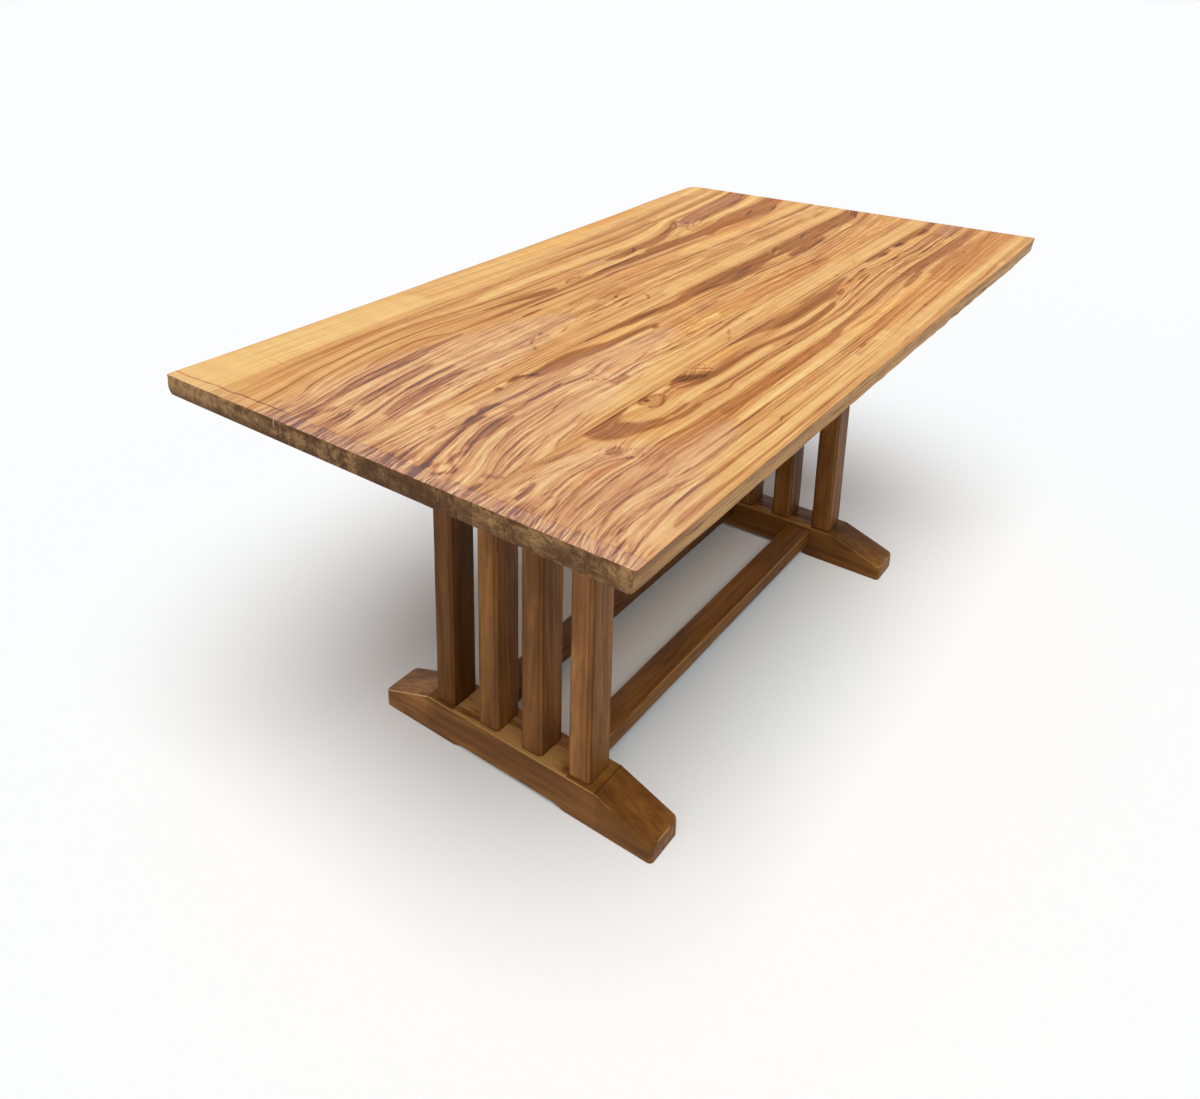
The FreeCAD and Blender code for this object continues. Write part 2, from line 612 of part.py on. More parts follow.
def make_stretcher(side, across):
    """Low rail from foot to foot, with a blind tenon at each end."""
    body = new_body(f"{side}_stretcher")
    section = new_sketch(body, f"{side}_stretcher_section", "YZ_Plane")
    draw_box(section, "0", "0", "stretcher_half_width", "stretcher_half_height")
    rail = pad(body, section, f"{side}_stretcher_rail", "stretcher_span", symmetric=True)
    soften(body, "Chamfer", f"{side}_stretcher_arrises", rail, "stretcher_arris",
           lambda middle, run: abs(run.x) > size("trestle_half_spread"))
    tenons = new_sketch(body, f"{side}_stretcher_tenon_section", "YZ_Plane")
    draw_box(tenons, "0", "0", "stretcher_tenon_half_width", "stretcher_tenon_half_thickness")
    pad(body, tenons, f"{side}_stretcher_tenons", "stretcher_tenon_span", symmetric=True)
    place(body, across=across, up="stretcher_level")


# ---------------------------------------------------------------- fasteners

def make_screw():
    """Coach screw with a hexagon head, head down and point up."""
    body = new_body("bearer_screw")
    profile = new_sketch(body, "screw_profile", "XZ_Plane")
    draw_outline(profile, [("0", "0"), ("screw_radius", "0"),
                           ("screw_radius", "screw_shank_length"), ("0", "screw_length")])
    turned = body.newObject("PartDesign::Revolution", "screw_turned")
    turned.Profile = profile
    turned.ReferenceAxis = (profile, ["V_Axis"])
    turned.Angle = 360
    DOC.recompute()
    hexagon = new_sketch(body, "screw_hexagon", "XY_Plane")
    draw_outline(hexagon, [
        ("0", "-screw_corner_reach"), ("screw_flat_reach", "-screw_corner_rise"),
        ("screw_flat_reach", "screw_corner_rise"), ("0", "screw_corner_reach"),
        ("-screw_flat_reach", "screw_corner_rise"), ("-screw_flat_reach", "-screw_corner_rise")])
    head = pad(body, hexagon, "screw_head", "screw_head_height")
    head.Reversed = True
    DOC.recompute()
    return body


def make_washer():
    """Flat washer."""
    body = new_body("bearer_washer")
    ring = new_sketch(body, "washer_ring", "XY_Plane")
    for radius in ("washer_radius", "washer_hole_radius"):
        draw_circle(ring, "0", "0", radius)
    pad(body, ring, "washer_pad", "washer_thickness")
    return body


def make_fasteners():
    """Screws and washers of both bearers."""
    screw, washer = make_screw(), make_washer()
    for trestle, along, _ in TRESTLES:
        spots = [(link(along), sign + "sizes." + offset, "sizes.screw_seat")
                 for offset in ("inner_screw_offset", "outer_screw_offset") for sign in ("", "-")]
        make_group(f"{trestle}_bearer_screws", screw, spots)
        make_group(f"{trestle}_bearer_washers", washer, spots)


# ---------------------------------------------------------------- the table

def build():
    """Make every piece of the table."""
    fill_sheet()
    make_left_board()
    make_middle_board()
    make_right_board()
    make_tongues()
    for trestle, along, turned in TRESTLES:
        make_foot(trestle, along, turned)
        for number, across in POSTS:
            make_post(trestle, along, number, across)
        make_bearer(trestle, along)
    for side, across in (("left", "stretcher_offset"), ("right", "-stretcher_offset")):
        make_stretcher(side, across)
    make_fasteners()
    DOC.recompute()


def export():
    """Check every object, then write one file for each node."""
    for item in DOC.Objects:
        if {"Invalid", "Error"} & set(item.State):
            raise RuntimeError(f"{item.Label} failed to build")
    masters = {"tongue", "bearer_screw", "bearer_washer"}
    kinds = {"PartDesign::Body", "Part::Feature", "Part::Compound"}
    nodes = [item for item in DOC.Objects if item.TypeId in kinds and item.Label not in masters]
    for node in nodes:
        if node.Shape.isNull() or not node.Shape.isValid():
            raise RuntimeError(f"{node.Label} has no valid shape")
    os.makedirs("parts", exist_ok=True)
    for node in nodes:
        node.Shape.exportStep(os.path.join("parts", node.Label + ".step"))


build()
export()
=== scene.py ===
"""Trestle dining table: figured plank top, stained trestles, and the studio round them.

Everything is in metres in the table's own frame: +X runs from the near trestle to the far one,
+Y across to the widest board, +Z up, with the origin on the floor under the middle of the top.
"""

import functools
import logging
import math
from dataclasses import dataclass
from enum import Enum
from typing import Callable, Iterable, Sequence, Union

import bmesh
import bpy
import numpy as np
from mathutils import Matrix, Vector, noise


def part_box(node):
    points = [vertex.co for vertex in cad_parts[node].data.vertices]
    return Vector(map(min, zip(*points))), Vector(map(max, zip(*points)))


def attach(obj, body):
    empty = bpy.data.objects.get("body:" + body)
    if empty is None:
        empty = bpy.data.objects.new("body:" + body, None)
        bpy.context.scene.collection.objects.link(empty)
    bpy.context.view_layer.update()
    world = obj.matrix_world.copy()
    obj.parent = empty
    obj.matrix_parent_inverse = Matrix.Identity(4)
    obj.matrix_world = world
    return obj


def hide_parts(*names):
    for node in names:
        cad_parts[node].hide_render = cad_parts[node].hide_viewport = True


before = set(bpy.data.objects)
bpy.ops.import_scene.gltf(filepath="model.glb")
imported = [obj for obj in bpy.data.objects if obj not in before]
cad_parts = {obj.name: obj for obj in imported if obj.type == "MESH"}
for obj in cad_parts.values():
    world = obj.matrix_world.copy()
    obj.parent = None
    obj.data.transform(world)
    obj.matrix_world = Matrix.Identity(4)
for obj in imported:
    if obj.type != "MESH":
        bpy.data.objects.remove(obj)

LOG = logging.getLogger("trestle_table")
MM = 0.001
X, Y, Z = range(3)

Socket = bpy.types.NodeSocket
Value = Union[Socket, float, Sequence[float]]
Colour = tuple[float, float, float, float]
Triple = tuple[float, float, float]
Pair = tuple[float, float]
Row = tuple[float, ...]


def srgb(red: float, green: float, blue: float) -> Colour:
    """Turn a display colour into the linear values that the shaders use.

    Args:
        red, green, blue: from 0 to 255.
    Returns:
        The colour, opaque.
    """
    def linear(value: float) -> float:
        """Linear value of one channel."""
        share = value / 255.0
        return share / 12.92 if share <= 0.04045 else ((share + 0.055) / 1.055) ** 2.4
    return linear(red), linear(green), linear(blue), 1.0


# ---------------------------------------------------------------- shader desk

@dataclass(frozen=True)
class Cloud:
    """Noise texture: how it is stretched on each axis and moved, its detail and roughness."""

    stretch: Triple
    offset: Triple = (0.0, 0.0, 0.0)
    detail: float = 2.0
    roughness: float = 0.5


class NodeDesk:
    """Short forms for laying out one node tree, of a material or of a node group."""

    def __init__(self, tree: bpy.types.NodeTree) -> None:
        """Clear the tree and start on it."""
        self.tree = tree
        tree.nodes.clear()

    def node(self, kind: str, **settings: object) -> bpy.types.Node:
        """Add a node.

        Args:
            kind: its type, in Blender's words.
            settings: its properties, by name.
        Returns:
            The node.
        """
        made = self.tree.nodes.new(kind)
        for name, value in settings.items():
            setattr(made, name, value)
        return made

    def feed(self, target: Socket, value: Value) -> None:
        """Link a socket to an input, or type a plain value into it.

        Args:
            target: the input.
            value: what it gets.
        """
        if isinstance(value, bpy.types.NodeSocket):
            self.tree.links.new(value, target)
        else:
            target.default_value = value

    def fill(self, made: bpy.types.Node, values: dict[Union[str, int], Value]) -> bpy.types.Node:
        """Feed several inputs of a node.

        Args:
            made: the node.
            values: what its inputs get, by name or number.
        Returns:
            The same node.
        """
        for name, value in values.items():
            self.feed(made.inputs[name], value)
        return made

    def maths(self, operation: str, *values: Value, clamp: bool = False) -> Socket:
        """Result of a Math node on up to three values."""
        made = self.node("ShaderNodeMath", operation=operation, use_clamp=clamp)
        return self.fill(made, dict(enumerate(values))).outputs[0]

    def times(self, a: Value, b: Value) -> Socket:
        """Product of two values."""
        return self.maths("MULTIPLY", a, b)

    def plus(self, a: Value, b: Value) -> Socket:
        """Sum of two values."""
        return self.maths("ADD", a, b)

    def minus(self, a: Value, b: Value) -> Socket:
        """Difference of two values."""
        return self.maths("SUBTRACT", a, b)

    def larger(self, a: Value, b: Value) -> Socket:
        """The larger of two values."""
        return self.maths("MAXIMUM", a, b)

    def weigh(self, total: Value, *parts: tuple[Value, float]) -> Socket:
        """Add values up by weight.

        Args:
            total: what the sum starts from.
            parts: pairs of a value and its weight.
        Returns:
            The sum.
        """
        for value, weight in parts:
            total = self.plus(total, self.times(value, weight))
        return total

    def spread(self, value: Value, low: Value, high: Value,
               out_low: float = 0.0, out_high: float = 1.0) -> Socket:
        """Smooth step of a value from one range, low to high, to another, 0 to 1 if not said."""
        made = self.node("ShaderNodeMapRange", interpolation_type="SMOOTHSTEP")
        return self.fill(made, dict(enumerate((value, low, high, out_low, out_high)))).outputs[0]

    def mix(self, share: Value, a: Value, b: Value, kind: str = "MIX") -> Socket:
        """Blend of two colours by a share."""
        made = self.node("ShaderNodeMix", data_type="RGBA", blend_type=kind)
        return self.fill(made, {0: share, 6: a, 7: b}).outputs[2]

    def tint(self, ground: Value, colour: Value) -> Socket:
        """Ground multiplied by a colour."""
        return self.mix(1.0, ground, colour, "MULTIPLY")

    def coats(self, ground: Value, *layers: tuple[Value, Value]) -> Socket:
        """Lay colours over a ground, one after the other.

        Args:
            ground: the colour under them.
            layers: pairs of how much covers, and the colour.
        Returns:
            The result.
        """
        for share, colour in layers:
            ground = self.mix(share, ground, colour)
        return ground

    def stretch(self, vector: Value, scale: Triple, offset: Triple = (0.0, 0.0, 0.0)) -> Socket:
        """Vector scaled on each axis, then moved."""
        made = self.node("ShaderNodeMapping")
        return self.fill(made, {"Vector": vector, "Scale": scale, "Location": offset}).outputs[0]

    def cloud(self, vector: Value, scale: float, detail: float = 2.0, roughness: float = 0.5) -> Socket:
        """Value of a noise texture of one scale, about 0.5 on average."""
        return self.fill(self.node("ShaderNodeTexNoise", noise_dimensions="3D"), {
            "Vector": vector, "Scale": scale, "Detail": detail, "Roughness": roughness}).outputs[0]

    def patches(self, vector: Value, cloud: Cloud) -> Socket:
        """Value of a stretched noise texture, about 0.5 on average."""
        place = self.stretch(vector, cloud.stretch, cloud.offset)
        return self.cloud(place, 1.0, cloud.detail, cloud.roughness)

    def attribute(self, name: str, part: str = "Fac") -> Socket:
        """Output of a vertex attribute of the piece."""
        return self.node("ShaderNodeAttribute", attribute_name=name).outputs[part]

    def place(self) -> Socket:
        """Place on the piece, in metres."""
        return self.node("ShaderNodeTexCoord").outputs["Object"]

    def split(self, vector: Value) -> tuple[Socket, ...]:
        """The three parts of a vector."""
        return tuple(self.fill(self.node("ShaderNodeSeparateXYZ"), {0: vector}).outputs)

    def join(self, *parts: Value) -> Socket:
        """Vector made of three values."""
        return self.fill(self.node("ShaderNodeCombineXYZ"), dict(enumerate(parts))).outputs[0]

    def group(self, name: str, **values: Value) -> Sequence[Socket]:
        """Place a shared node group, give it its values, and hand back its outputs."""
        return self.fill(self.node("ShaderNodeGroup", node_tree=Groups.get(name)), values).outputs


class FinishDesk(NodeDesk):
    """Desk for a material with one Principled shader."""

    def __init__(self, name: str) -> None:
        """Start the material and its shader.

        Args:
            name: name of the material.
        """
        self.material = bpy.data.materials.new(name)
        self.material.use_nodes = True
        super().__init__(self.material.node_tree)
        self.shader = self.node("ShaderNodeBsdfPrincipled")
        self.fill(self.node("ShaderNodeOutputMaterial"), {0: self.shader.outputs[0]})

    def wood(self, ground: Value, roughness: Value, specular: float, relief: Pair,
             height: Value) -> bpy.types.Material:
        """Give the shader what makes a wooden surface.

        Args:
            ground, roughness: its colour and roughness.
            specular: specular level, the same all over.
            relief: strength and distance of the bump.
            height: what the bump follows.
        Returns:
            The material.
        """
        bump = self.node("ShaderNodeBump")
        self.fill(bump, {"Strength": relief[0], "Distance": relief[1], "Height": height})
        self.fill(self.shader, {"Base Color": ground, "Roughness": roughness,
                                "Specular IOR Level": specular, "Normal": bump.outputs[0]})
        return self.material


class Groups:
    """Node groups that several finishes share, each built once."""

    grain_along: dict[str, tuple[Cloud, float, float]] = {
        "Bands": (Cloud((0.9, 26.0, 12.0)), 0.32, 0.68),
        "Streaks": (Cloud((3.2, 125.0, 40.0), (3.1, 0.7, 0.0), 3.0, 0.62), 0.34, 0.68),
        "Fibres": (Cloud((11.0, 620.0, 300.0), (7.3, 2.9, 0.0), 2.0, 0.6), 0.3, 0.7),
        "Pores": (Cloud((46.0, 980.0, 980.0), (1.7, 5.1, 0.0), 1.0), 0.6, 0.72)}
    ring_wander = Cloud((60.0, 60.0, 60.0))
    wander_reach = 0.006
    rings_per_metre = 190.0
    end_pores = Cloud((700.0, 700.0, 700.0), detail=1.0)
    end_stain = Cloud((25.0, 25.0, 60.0), detail=4.0, roughness=0.65)

    @staticmethod
    @functools.cache
    def get(name: str) -> bpy.types.NodeTree:
        """The group of that name, built at its first use."""
        return getattr(Groups, name)()

    @staticmethod
    def start(name: str, inputs: dict[str, tuple[str, object]],
              outputs: Iterable[str]) -> tuple[NodeDesk, bpy.types.Node, bpy.types.Node]:
        """Start a shader node group with named sockets.

        Args:
            name: name of the group.
            inputs: for each input, its kind (Float or Vector) and its default.
            outputs: its outputs, each a number.
        Returns:
            The desk of the group's tree, and its input and output nodes.
        """
        tree = bpy.data.node_groups.new(name, "ShaderNodeTree")
        for label, (kind, default) in inputs.items():
            socket = tree.interface.new_socket(label, in_out="INPUT", socket_type="NodeSocket" + kind)
            socket.default_value = default
        for label in outputs:
            tree.interface.new_socket(label, in_out="OUTPUT", socket_type="NodeSocketFloat")
        desk = NodeDesk(tree)
        return desk, desk.node("NodeGroupInput"), desk.node("NodeGroupOutput")

    @classmethod
    def long_grain(cls) -> bpy.types.NodeTree:
        """Bands, streaks, fibres and pores of wood cut along its grain.

        Flow is a place in metres with the grain along its X.

        Returns:
            The group's tree.
        """
        desk, given, out = cls.start("long_grain", {"Flow": ("Vector", (0.0, 0.0, 0.0))}, cls.grain_along)
        for name, (cloud, low, high) in cls.grain_along.items():
            desk.feed(out.inputs[name], desk.spread(desk.patches(given.outputs["Flow"], cloud), low, high))
        return desk.tree

    @classmethod
    def end_grain(cls) -> bpy.types.NodeTree:
        """Growth rings, open pores and oil stain of wood cut across its grain.

        Rings is a value in metres that grows from ring to ring.

        Returns:
            The group's tree.
        """
        desk, given, out = cls.start(
            "end_grain", {"Place": ("Vector", (0.0, 0.0, 0.0)), "Rings": ("Float", 0.0)},
            ("Rings", "Pores", "Stain"))
        place = given.outputs["Place"]
        level = desk.weigh(given.outputs["Rings"], (desk.patches(place, cls.ring_wander), cls.wander_reach))
        rings = desk.cloud(desk.join(desk.times(level, cls.rings_per_metre), 0.0, 0.0), 1.0, 2.0, 0.6)
        desk.fill(out, {"Rings": desk.spread(rings, 0.36, 0.64),
                        "Pores": desk.spread(desk.patches(place, cls.end_pores), 0.56, 0.7),
                        "Stain": desk.spread(desk.patches(place, cls.end_stain), 0.35, 0.65)})
        return desk.tree


# ---------------------------------------------------------------- finishes

@dataclass(frozen=True)
class TopFaceFinish:
    """Oiled face of a figured board: honey ground, brown and plum streaks, pale sapwood.

    It reads the piece's flow, figure and tone attributes, laid by BoardFigure. Streaky noise
    and the listed masks add up to one level, which a ramp turns into colour. Each of the
    cross lines has its x at y 0, its slope, its lowest and highest y, and its strength.
    """

    name: str = "oiled_top_face"
    ramp: tuple[tuple[float, Colour], ...] = (
        (0.00, srgb(249, 214, 146)), (0.18, srgb(239, 194, 127)), (0.38, srgb(221, 163, 101)),
        (0.58, srgb(195, 132, 76)), (0.76, srgb(160, 99, 50)), (0.90, srgb(120, 70, 37)),
        (1.00, srgb(86, 48, 28)))
    sapwood_tint: Colour = (1.0, 0.99, 0.95, 1.0)
    honey_tint: Colour = (1.04, 0.93, 0.76, 1.0)
    blush_tint: Colour = (1.045, 1.065, 1.16, 1.0)
    strip_tint: Colour = (0.975, 0.975, 1.05, 1.0)
    bloom: Colour = srgb(206, 172, 168)
    blush_bloom: float = 0.18
    strip_bloom: float = 0.26

    centre: float = 0.40
    brown_push: float = 0.33
    plum_push: float = 0.42
    pale_push: float = -0.25
    dash_push: float = 0.34
    pore_push: float = 0.10
    fibre_push: float = 0.07
    end_push: float = 0.40

    wide: Cloud = Cloud((1.6, 58.0, 20.0), (0.3, 2.9, 0.0))
    narrow: Cloud = Cloud((2.6, 190.0, 50.0), (3.1, 0.7, 0.0), 3.0, 0.62)
    thread: Cloud = Cloud((4.2, 460.0, 90.0), (9.2, 4.7, 0.0), 2.0, 0.55)
    streak_shares: Triple = (0.24, 0.46, 0.30)
    short: Cloud = Cloud((12.0, 250.0, 60.0), (5.3, 7.7, 0.0), 4.0, 0.62)
    calm_contrast: float = 2.2
    busy_contrast: float = 0.85
    quiet_contrast: float = -1.3
    short_contrast: float = 1.35
    dash: Cloud = Cloud((10.0, 270.0, 60.0), (4.4, 1.3, 0.0), 3.0, 0.62)
    wobble: Cloud = Cloud((17.0, 48.0, 20.0), (2.4, 0.9, 0.0), 3.0, 0.6)
    vary: Cloud = Cloud((9.0, 60.0, 40.0), (6.1, 8.3, 0.0))
    ripple: Cloud = Cloud((34.0, 9.0, 9.0), (0.4, 3.3, 0.0))

    near_strip: float = -0.8295
    strip_busy: float = 0.5
    end_streak: Cloud = Cloud((15.0, 105.0, 30.0), (2.9, 6.6, 0.0), 3.0, 0.6)
    end_reach: Pair = (-0.845, -0.765)
    sapwood: Pair = (0.20, 0.24)
    line_wander: float = 0.012
    line_half: Pair = (0.0007, 0.0022)
    line_fade: float = 0.03
    # Dark lines across the top: painted shade of the low step at the near end and of scribes.
    cross_lines: tuple[Row, ...] = (
        (-0.8209, -0.0345, 0.16, 0.50, 0.42), (-0.8285, 0.0, -0.45, 0.12, 0.10),
        (0.3720, -0.07, -0.405, -0.250, 0.26), (0.5610, -0.01, -0.335, -0.204, 0.26),
        (-0.7080, -0.01, 0.300, 0.380, 0.16), (-0.4100, 0.22, -0.150, -0.060, 0.20))

    def noise_level(self, desk: NodeDesk, flow: Socket, busy: Socket, quiet: Socket) -> Socket:
        """Lay streaks along the grain, stronger where the figure is busy.

        Args:
            desk: the material's desk.
            flow: the flow attribute.
            busy, quiet: masks that raise and lower the contrast.
        Returns:
            The level, about 0.
        """
        clouds = (desk.patches(flow, cloud) for cloud in (self.wide, self.narrow, self.thread))
        total = desk.weigh(-0.5, *zip(clouds, self.streak_shares))
        contrast = desk.weigh(self.calm_contrast, (busy, self.busy_contrast), (quiet, self.quiet_contrast))
        short = desk.minus(desk.patches(flow, self.short), 0.5)
        return desk.plus(desk.times(total, contrast),
                         desk.times(short, desk.times(busy, self.short_contrast)))

    def dashes(self, desk: NodeDesk, flow: Socket, busy: Socket) -> Socket:
        """Lay short dark dashes along the grain where the figure is busy.

        Args:
            desk: the material's desk.
            flow: the flow attribute.
            busy: mask of the busy places.
        Returns:
            The mask of the dashes.
        """
        gate = desk.minus(0.70, desk.times(busy, 0.15))
        return desk.times(desk.spread(desk.patches(flow, self.dash), gate, desk.plus(gate, 0.08)),
                          desk.maths("MINIMUM", desk.times(busy, 1.5), 1.0))

    def scribe_shade_lines(self, desk: NodeDesk, x: Socket, y: Socket) -> Socket:
        """Draw dark lines across the top, painted shade of the low step at the near end and of scribes.

        Args:
            desk: the material's desk.
            x, y: place on the top.
        Returns:
            How strong a line is at each place.
        """
        drift = desk.minus(desk.cloud(desk.join(0.0, y, 0.0), 14.0), 0.5)
        drawn: Value = 0.0
        for start, slope, low, high, strength in self.cross_lines:
            path = desk.weigh(start, (drift, self.line_wander), (y, slope))
            away = desk.maths("ABSOLUTE", desk.minus(x, path))
            within = desk.times(desk.spread(y, low, low + self.line_fade),
                                desk.spread(y, high - self.line_fade, high, 1.0, 0.0))
            drawn = desk.larger(drawn, desk.times(desk.spread(away, *self.line_half, strength, 0.0), within))
        return drawn

    def near_end(self, desk: NodeDesk, flow: Socket) -> tuple[Socket, Socket, Socket]:
        """Find what is special at the near end.

        Args:
            desk: the material's desk.
            flow: the flow attribute.
        Returns:
            Masks of the strip along the end, of the painted shade lines across and of the end's dark streaks.
        """
        x, y, _ = desk.split(desk.place())
        strip = desk.times(desk.spread(x, self.near_strip, self.near_strip + 0.002, 1.0, 0.0),
                           desk.spread(y, 0.16, 0.24, 1.0, 0.3))
        ends = desk.times(desk.spread(desk.patches(flow, self.end_streak), 0.50, 0.60),
                          desk.times(desk.spread(x, *self.end_reach, 1.0, 0.0),
                                     desk.spread(y, *self.sapwood, 1.0, 0.0)))
        return strip, self.scribe_shade_lines(desk, x, y), ends

    def colour(self, desk: NodeDesk, level: Socket) -> Socket:
        """Turn the level into colour.

        Args:
            desk: the material's desk.
            level: from 0, pale, to 1, dark.
        Returns:
            The colour.
        """
        made = desk.node("ShaderNodeValToRGB")
        stops = made.color_ramp.elements
        stops.remove(stops[0])
        for index, (place, colour) in enumerate(self.ramp):
            stop = stops[0] if index == 0 else stops.new(place)
            stop.position, stop.color = place, colour
        desk.feed(made.inputs[0], level)
        return made.outputs[0]

    def build(self) -> bpy.types.Material:
        """Lay the material out.

        Returns:
            The material.
        """
        desk = FinishDesk(self.name)
        brown, plum, pale = desk.split(desk.attribute("figure", "Vector"))
        busy, blush, honey = desk.split(desk.attribute("tone", "Vector"))
        flow = desk.attribute("flow", "Vector")
        along, level, deep = desk.split(flow)
        wobble = desk.minus(desk.patches(flow, self.wobble), 0.5)
        wobble = desk.times(wobble, desk.weigh(0.002, (busy, 0.010)))
        flow = desk.join(along, desk.plus(level, wobble), deep)
        grain = desk.group("long_grain", Flow=flow)
        # The lines across carry painted shade into the level.
        strip, scribe_shade, ends = self.near_end(desk, flow)
        busy = desk.weigh(busy, (strip, self.strip_busy))
        vary = desk.spread(desk.patches(flow, self.vary), 0.3, 0.62, 0.65, 1.05)
        quiet = desk.larger(pale, desk.times(brown, 0.8))
        level = desk.weigh(
            desk.plus(self.centre, self.noise_level(desk, flow, busy, quiet)),
            (desk.minus(grain["Fibres"], 0.5), self.fibre_push), (brown, self.brown_push),
            (desk.times(plum, vary), self.plum_push), (pale, self.pale_push),
            (self.dashes(desk, flow, busy), self.dash_push), (grain["Pores"], self.pore_push),
            (ends, self.end_push), (scribe_shade, 1.0))
        ground = self.colour(desk, level)
        for mask, tint in ((pale, self.sapwood_tint), (honey, self.honey_tint), (blush, self.blush_tint),
                           (desk.larger(strip, ends), self.strip_tint)):
            ground = desk.mix(mask, ground, desk.tint(ground, tint))
        dusk = desk.larger(desk.times(blush, self.blush_bloom), desk.times(strip, self.strip_bloom))
        shade = desk.spread(desk.patches(flow, self.ripple), 0.3, 0.7, 0.955, 1.03)
        ground = desk.tint(desk.mix(dusk, ground, self.bloom), desk.join(shade, shade, shade))
        return desk.wood(ground, desk.spread(grain["Streaks"], 0.0, 1.0, 0.42, 0.54), 0.05,
                         (0.25, 0.0006), desk.weigh(grain["Fibres"], (grain["Pores"], -0.8)))


@dataclass(frozen=True)
class EndGrainFinish:
    """Sawn end of the boards, darkened where it drank the oil."""

    name: str = "oiled_end_grain"
    light: Colour = srgb(172, 134, 90)
    mid: Colour = srgb(138, 102, 64)
    dark: Colour = srgb(74, 46, 24)
    filler: Colour = srgb(206, 184, 150)
    swirl: Cloud = Cloud((9.0, 16.0, 26.0), (0.0, 1.7, 0.0))
    blot: Cloud = Cloud((30.0, 105.0, 75.0), (1.3, 4.1, 0.0), 5.0, 0.7)
    sapwood: Pair = (0.19, 0.23)
    crack_at: float = 0.196

    def crack(self, desk: NodeDesk, place: Socket, level: Socket, depth: Socket) -> Socket:
        """Draw the filled crack at the near end.

        Args:
            desk: the material's desk.
            place: place on the board.
            level, depth: across the grain and down from the face.
        Returns:
            The mask of the crack.
        """
        away = desk.maths("ABSOLUTE", desk.minus(level, self.crack_at))
        crack = desk.times(desk.spread(away, 0.0004, 0.0013, 1.0, 0.0),
                           desk.spread(depth, 0.009, 0.013, 1.0, 0.0))
        return desk.times(crack, desk.spread(desk.split(place)[0], -0.1, 0.1, 1.0, 0.0))

    def build(self) -> bpy.types.Material:
        """Lay the material out.

        Returns:
            The material.
        """
        desk = FinishDesk(self.name)
        place = desk.place()
        _, level, depth = desk.split(desk.attribute("flow", "Vector"))
        brown, plum, pale = desk.split(desk.attribute("figure", "Vector"))
        rings = desk.weigh(0.0, (level, 0.45), (depth, 0.55), (desk.patches(place, self.swirl), 0.11))
        grain = desk.group("end_grain", Place=place, Rings=rings)
        clean = desk.spread(level, *self.sapwood)
        middle = desk.times(desk.spread(level, -0.2025, -0.2015),
                            desk.spread(level, -0.0005, 0.0005, 1.0, 0.0))
        stain = desk.times(grain["Stain"], desk.weigh(0.85, (pale, -0.8)))
        blot = desk.times(desk.spread(desk.patches(place, self.blot), 0.46, 0.62),
                          desk.times(desk.spread(level, *self.sapwood, 0.85, 0.52),
                                     desk.spread(level, -0.25, -0.20, 0.7, 1.0)))
        low = desk.times(desk.spread(depth, 0.014, 0.032), desk.weigh(0.4, (clean, 0.35)))
        ground = desk.coats(
            desk.mix(grain["Rings"], self.light, self.mid), (desk.times(clean, 0.4), self.light),
            (desk.times(middle, 0.45), self.dark), (stain, self.dark),
            (desk.times(desk.larger(brown, plum), 0.6), self.dark), (blot, self.dark), (low, self.dark),
            (self.crack(desk, place, level, depth), self.filler),
            (desk.times(grain["Pores"], 0.5), self.dark))
        return desk.wood(ground, 0.62, 0.12, (0.5, 0.0008), desk.minus(grain["Rings"], grain["Pores"]))


@dataclass(frozen=True)
class NaturalEdgeFinish:
    """Long edge of a board, cut along the grain and rubbed with oil."""

    name: str = "oiled_long_edge"
    light: Colour = srgb(204, 158, 100)
    mid: Colour = srgb(168, 122, 72)
    dark: Colour = srgb(100, 66, 38)
    plum: Colour = srgb(132, 86, 64)
    patch: Cloud = Cloud((14.0, 90.0, 90.0), (2.2, 6.1, 0.0), 4.0, 0.6)
    plum_under_arris: Cloud = Cloud((5.0, 40.0, 40.0), (1.2, 3.4, 0.0), 3.0, 0.6)
    lean: float = 1.4

    def build(self) -> bpy.types.Material:
        """Lay the material out.

        Returns:
            The material.
        """
        desk = FinishDesk(self.name)
        along, level, depth = desk.split(desk.attribute("flow", "Vector"))
        flow = desk.join(along, desk.weigh(level, (depth, self.lean)), depth)
        grain = desk.group("long_grain", Flow=flow)
        patch = desk.patches(flow, self.patch)
        # Plum patches, strongest just under the top arris.
        plum_under_arris = desk.times(desk.spread(desk.patches(flow, self.plum_under_arris), 0.5, 0.6),
                            desk.spread(depth, 0.004, 0.014, 0.8, 0.15))
        near = desk.spread(desk.split(desk.place())[0], -0.855, -0.70, 0.45, 0.0)
        ground = desk.coats(
            desk.mix(grain["Streaks"], self.light, self.mid), (desk.spread(patch, 0.5, 0.74), self.dark),
            (plum_under_arris, self.plum), (near, self.dark), (desk.times(grain["Pores"], 0.4), self.dark))
        return desk.wood(ground, 0.55, 0.12, (0.4, 0.001), desk.plus(grain["Fibres"], patch))


class GrainAxis(Enum):
    """Way that the grain of a straight piece runs."""

    ALONG = (0, 1, 2)
    ACROSS = (1, 0, 2)
    UP = (2, 0, 1)


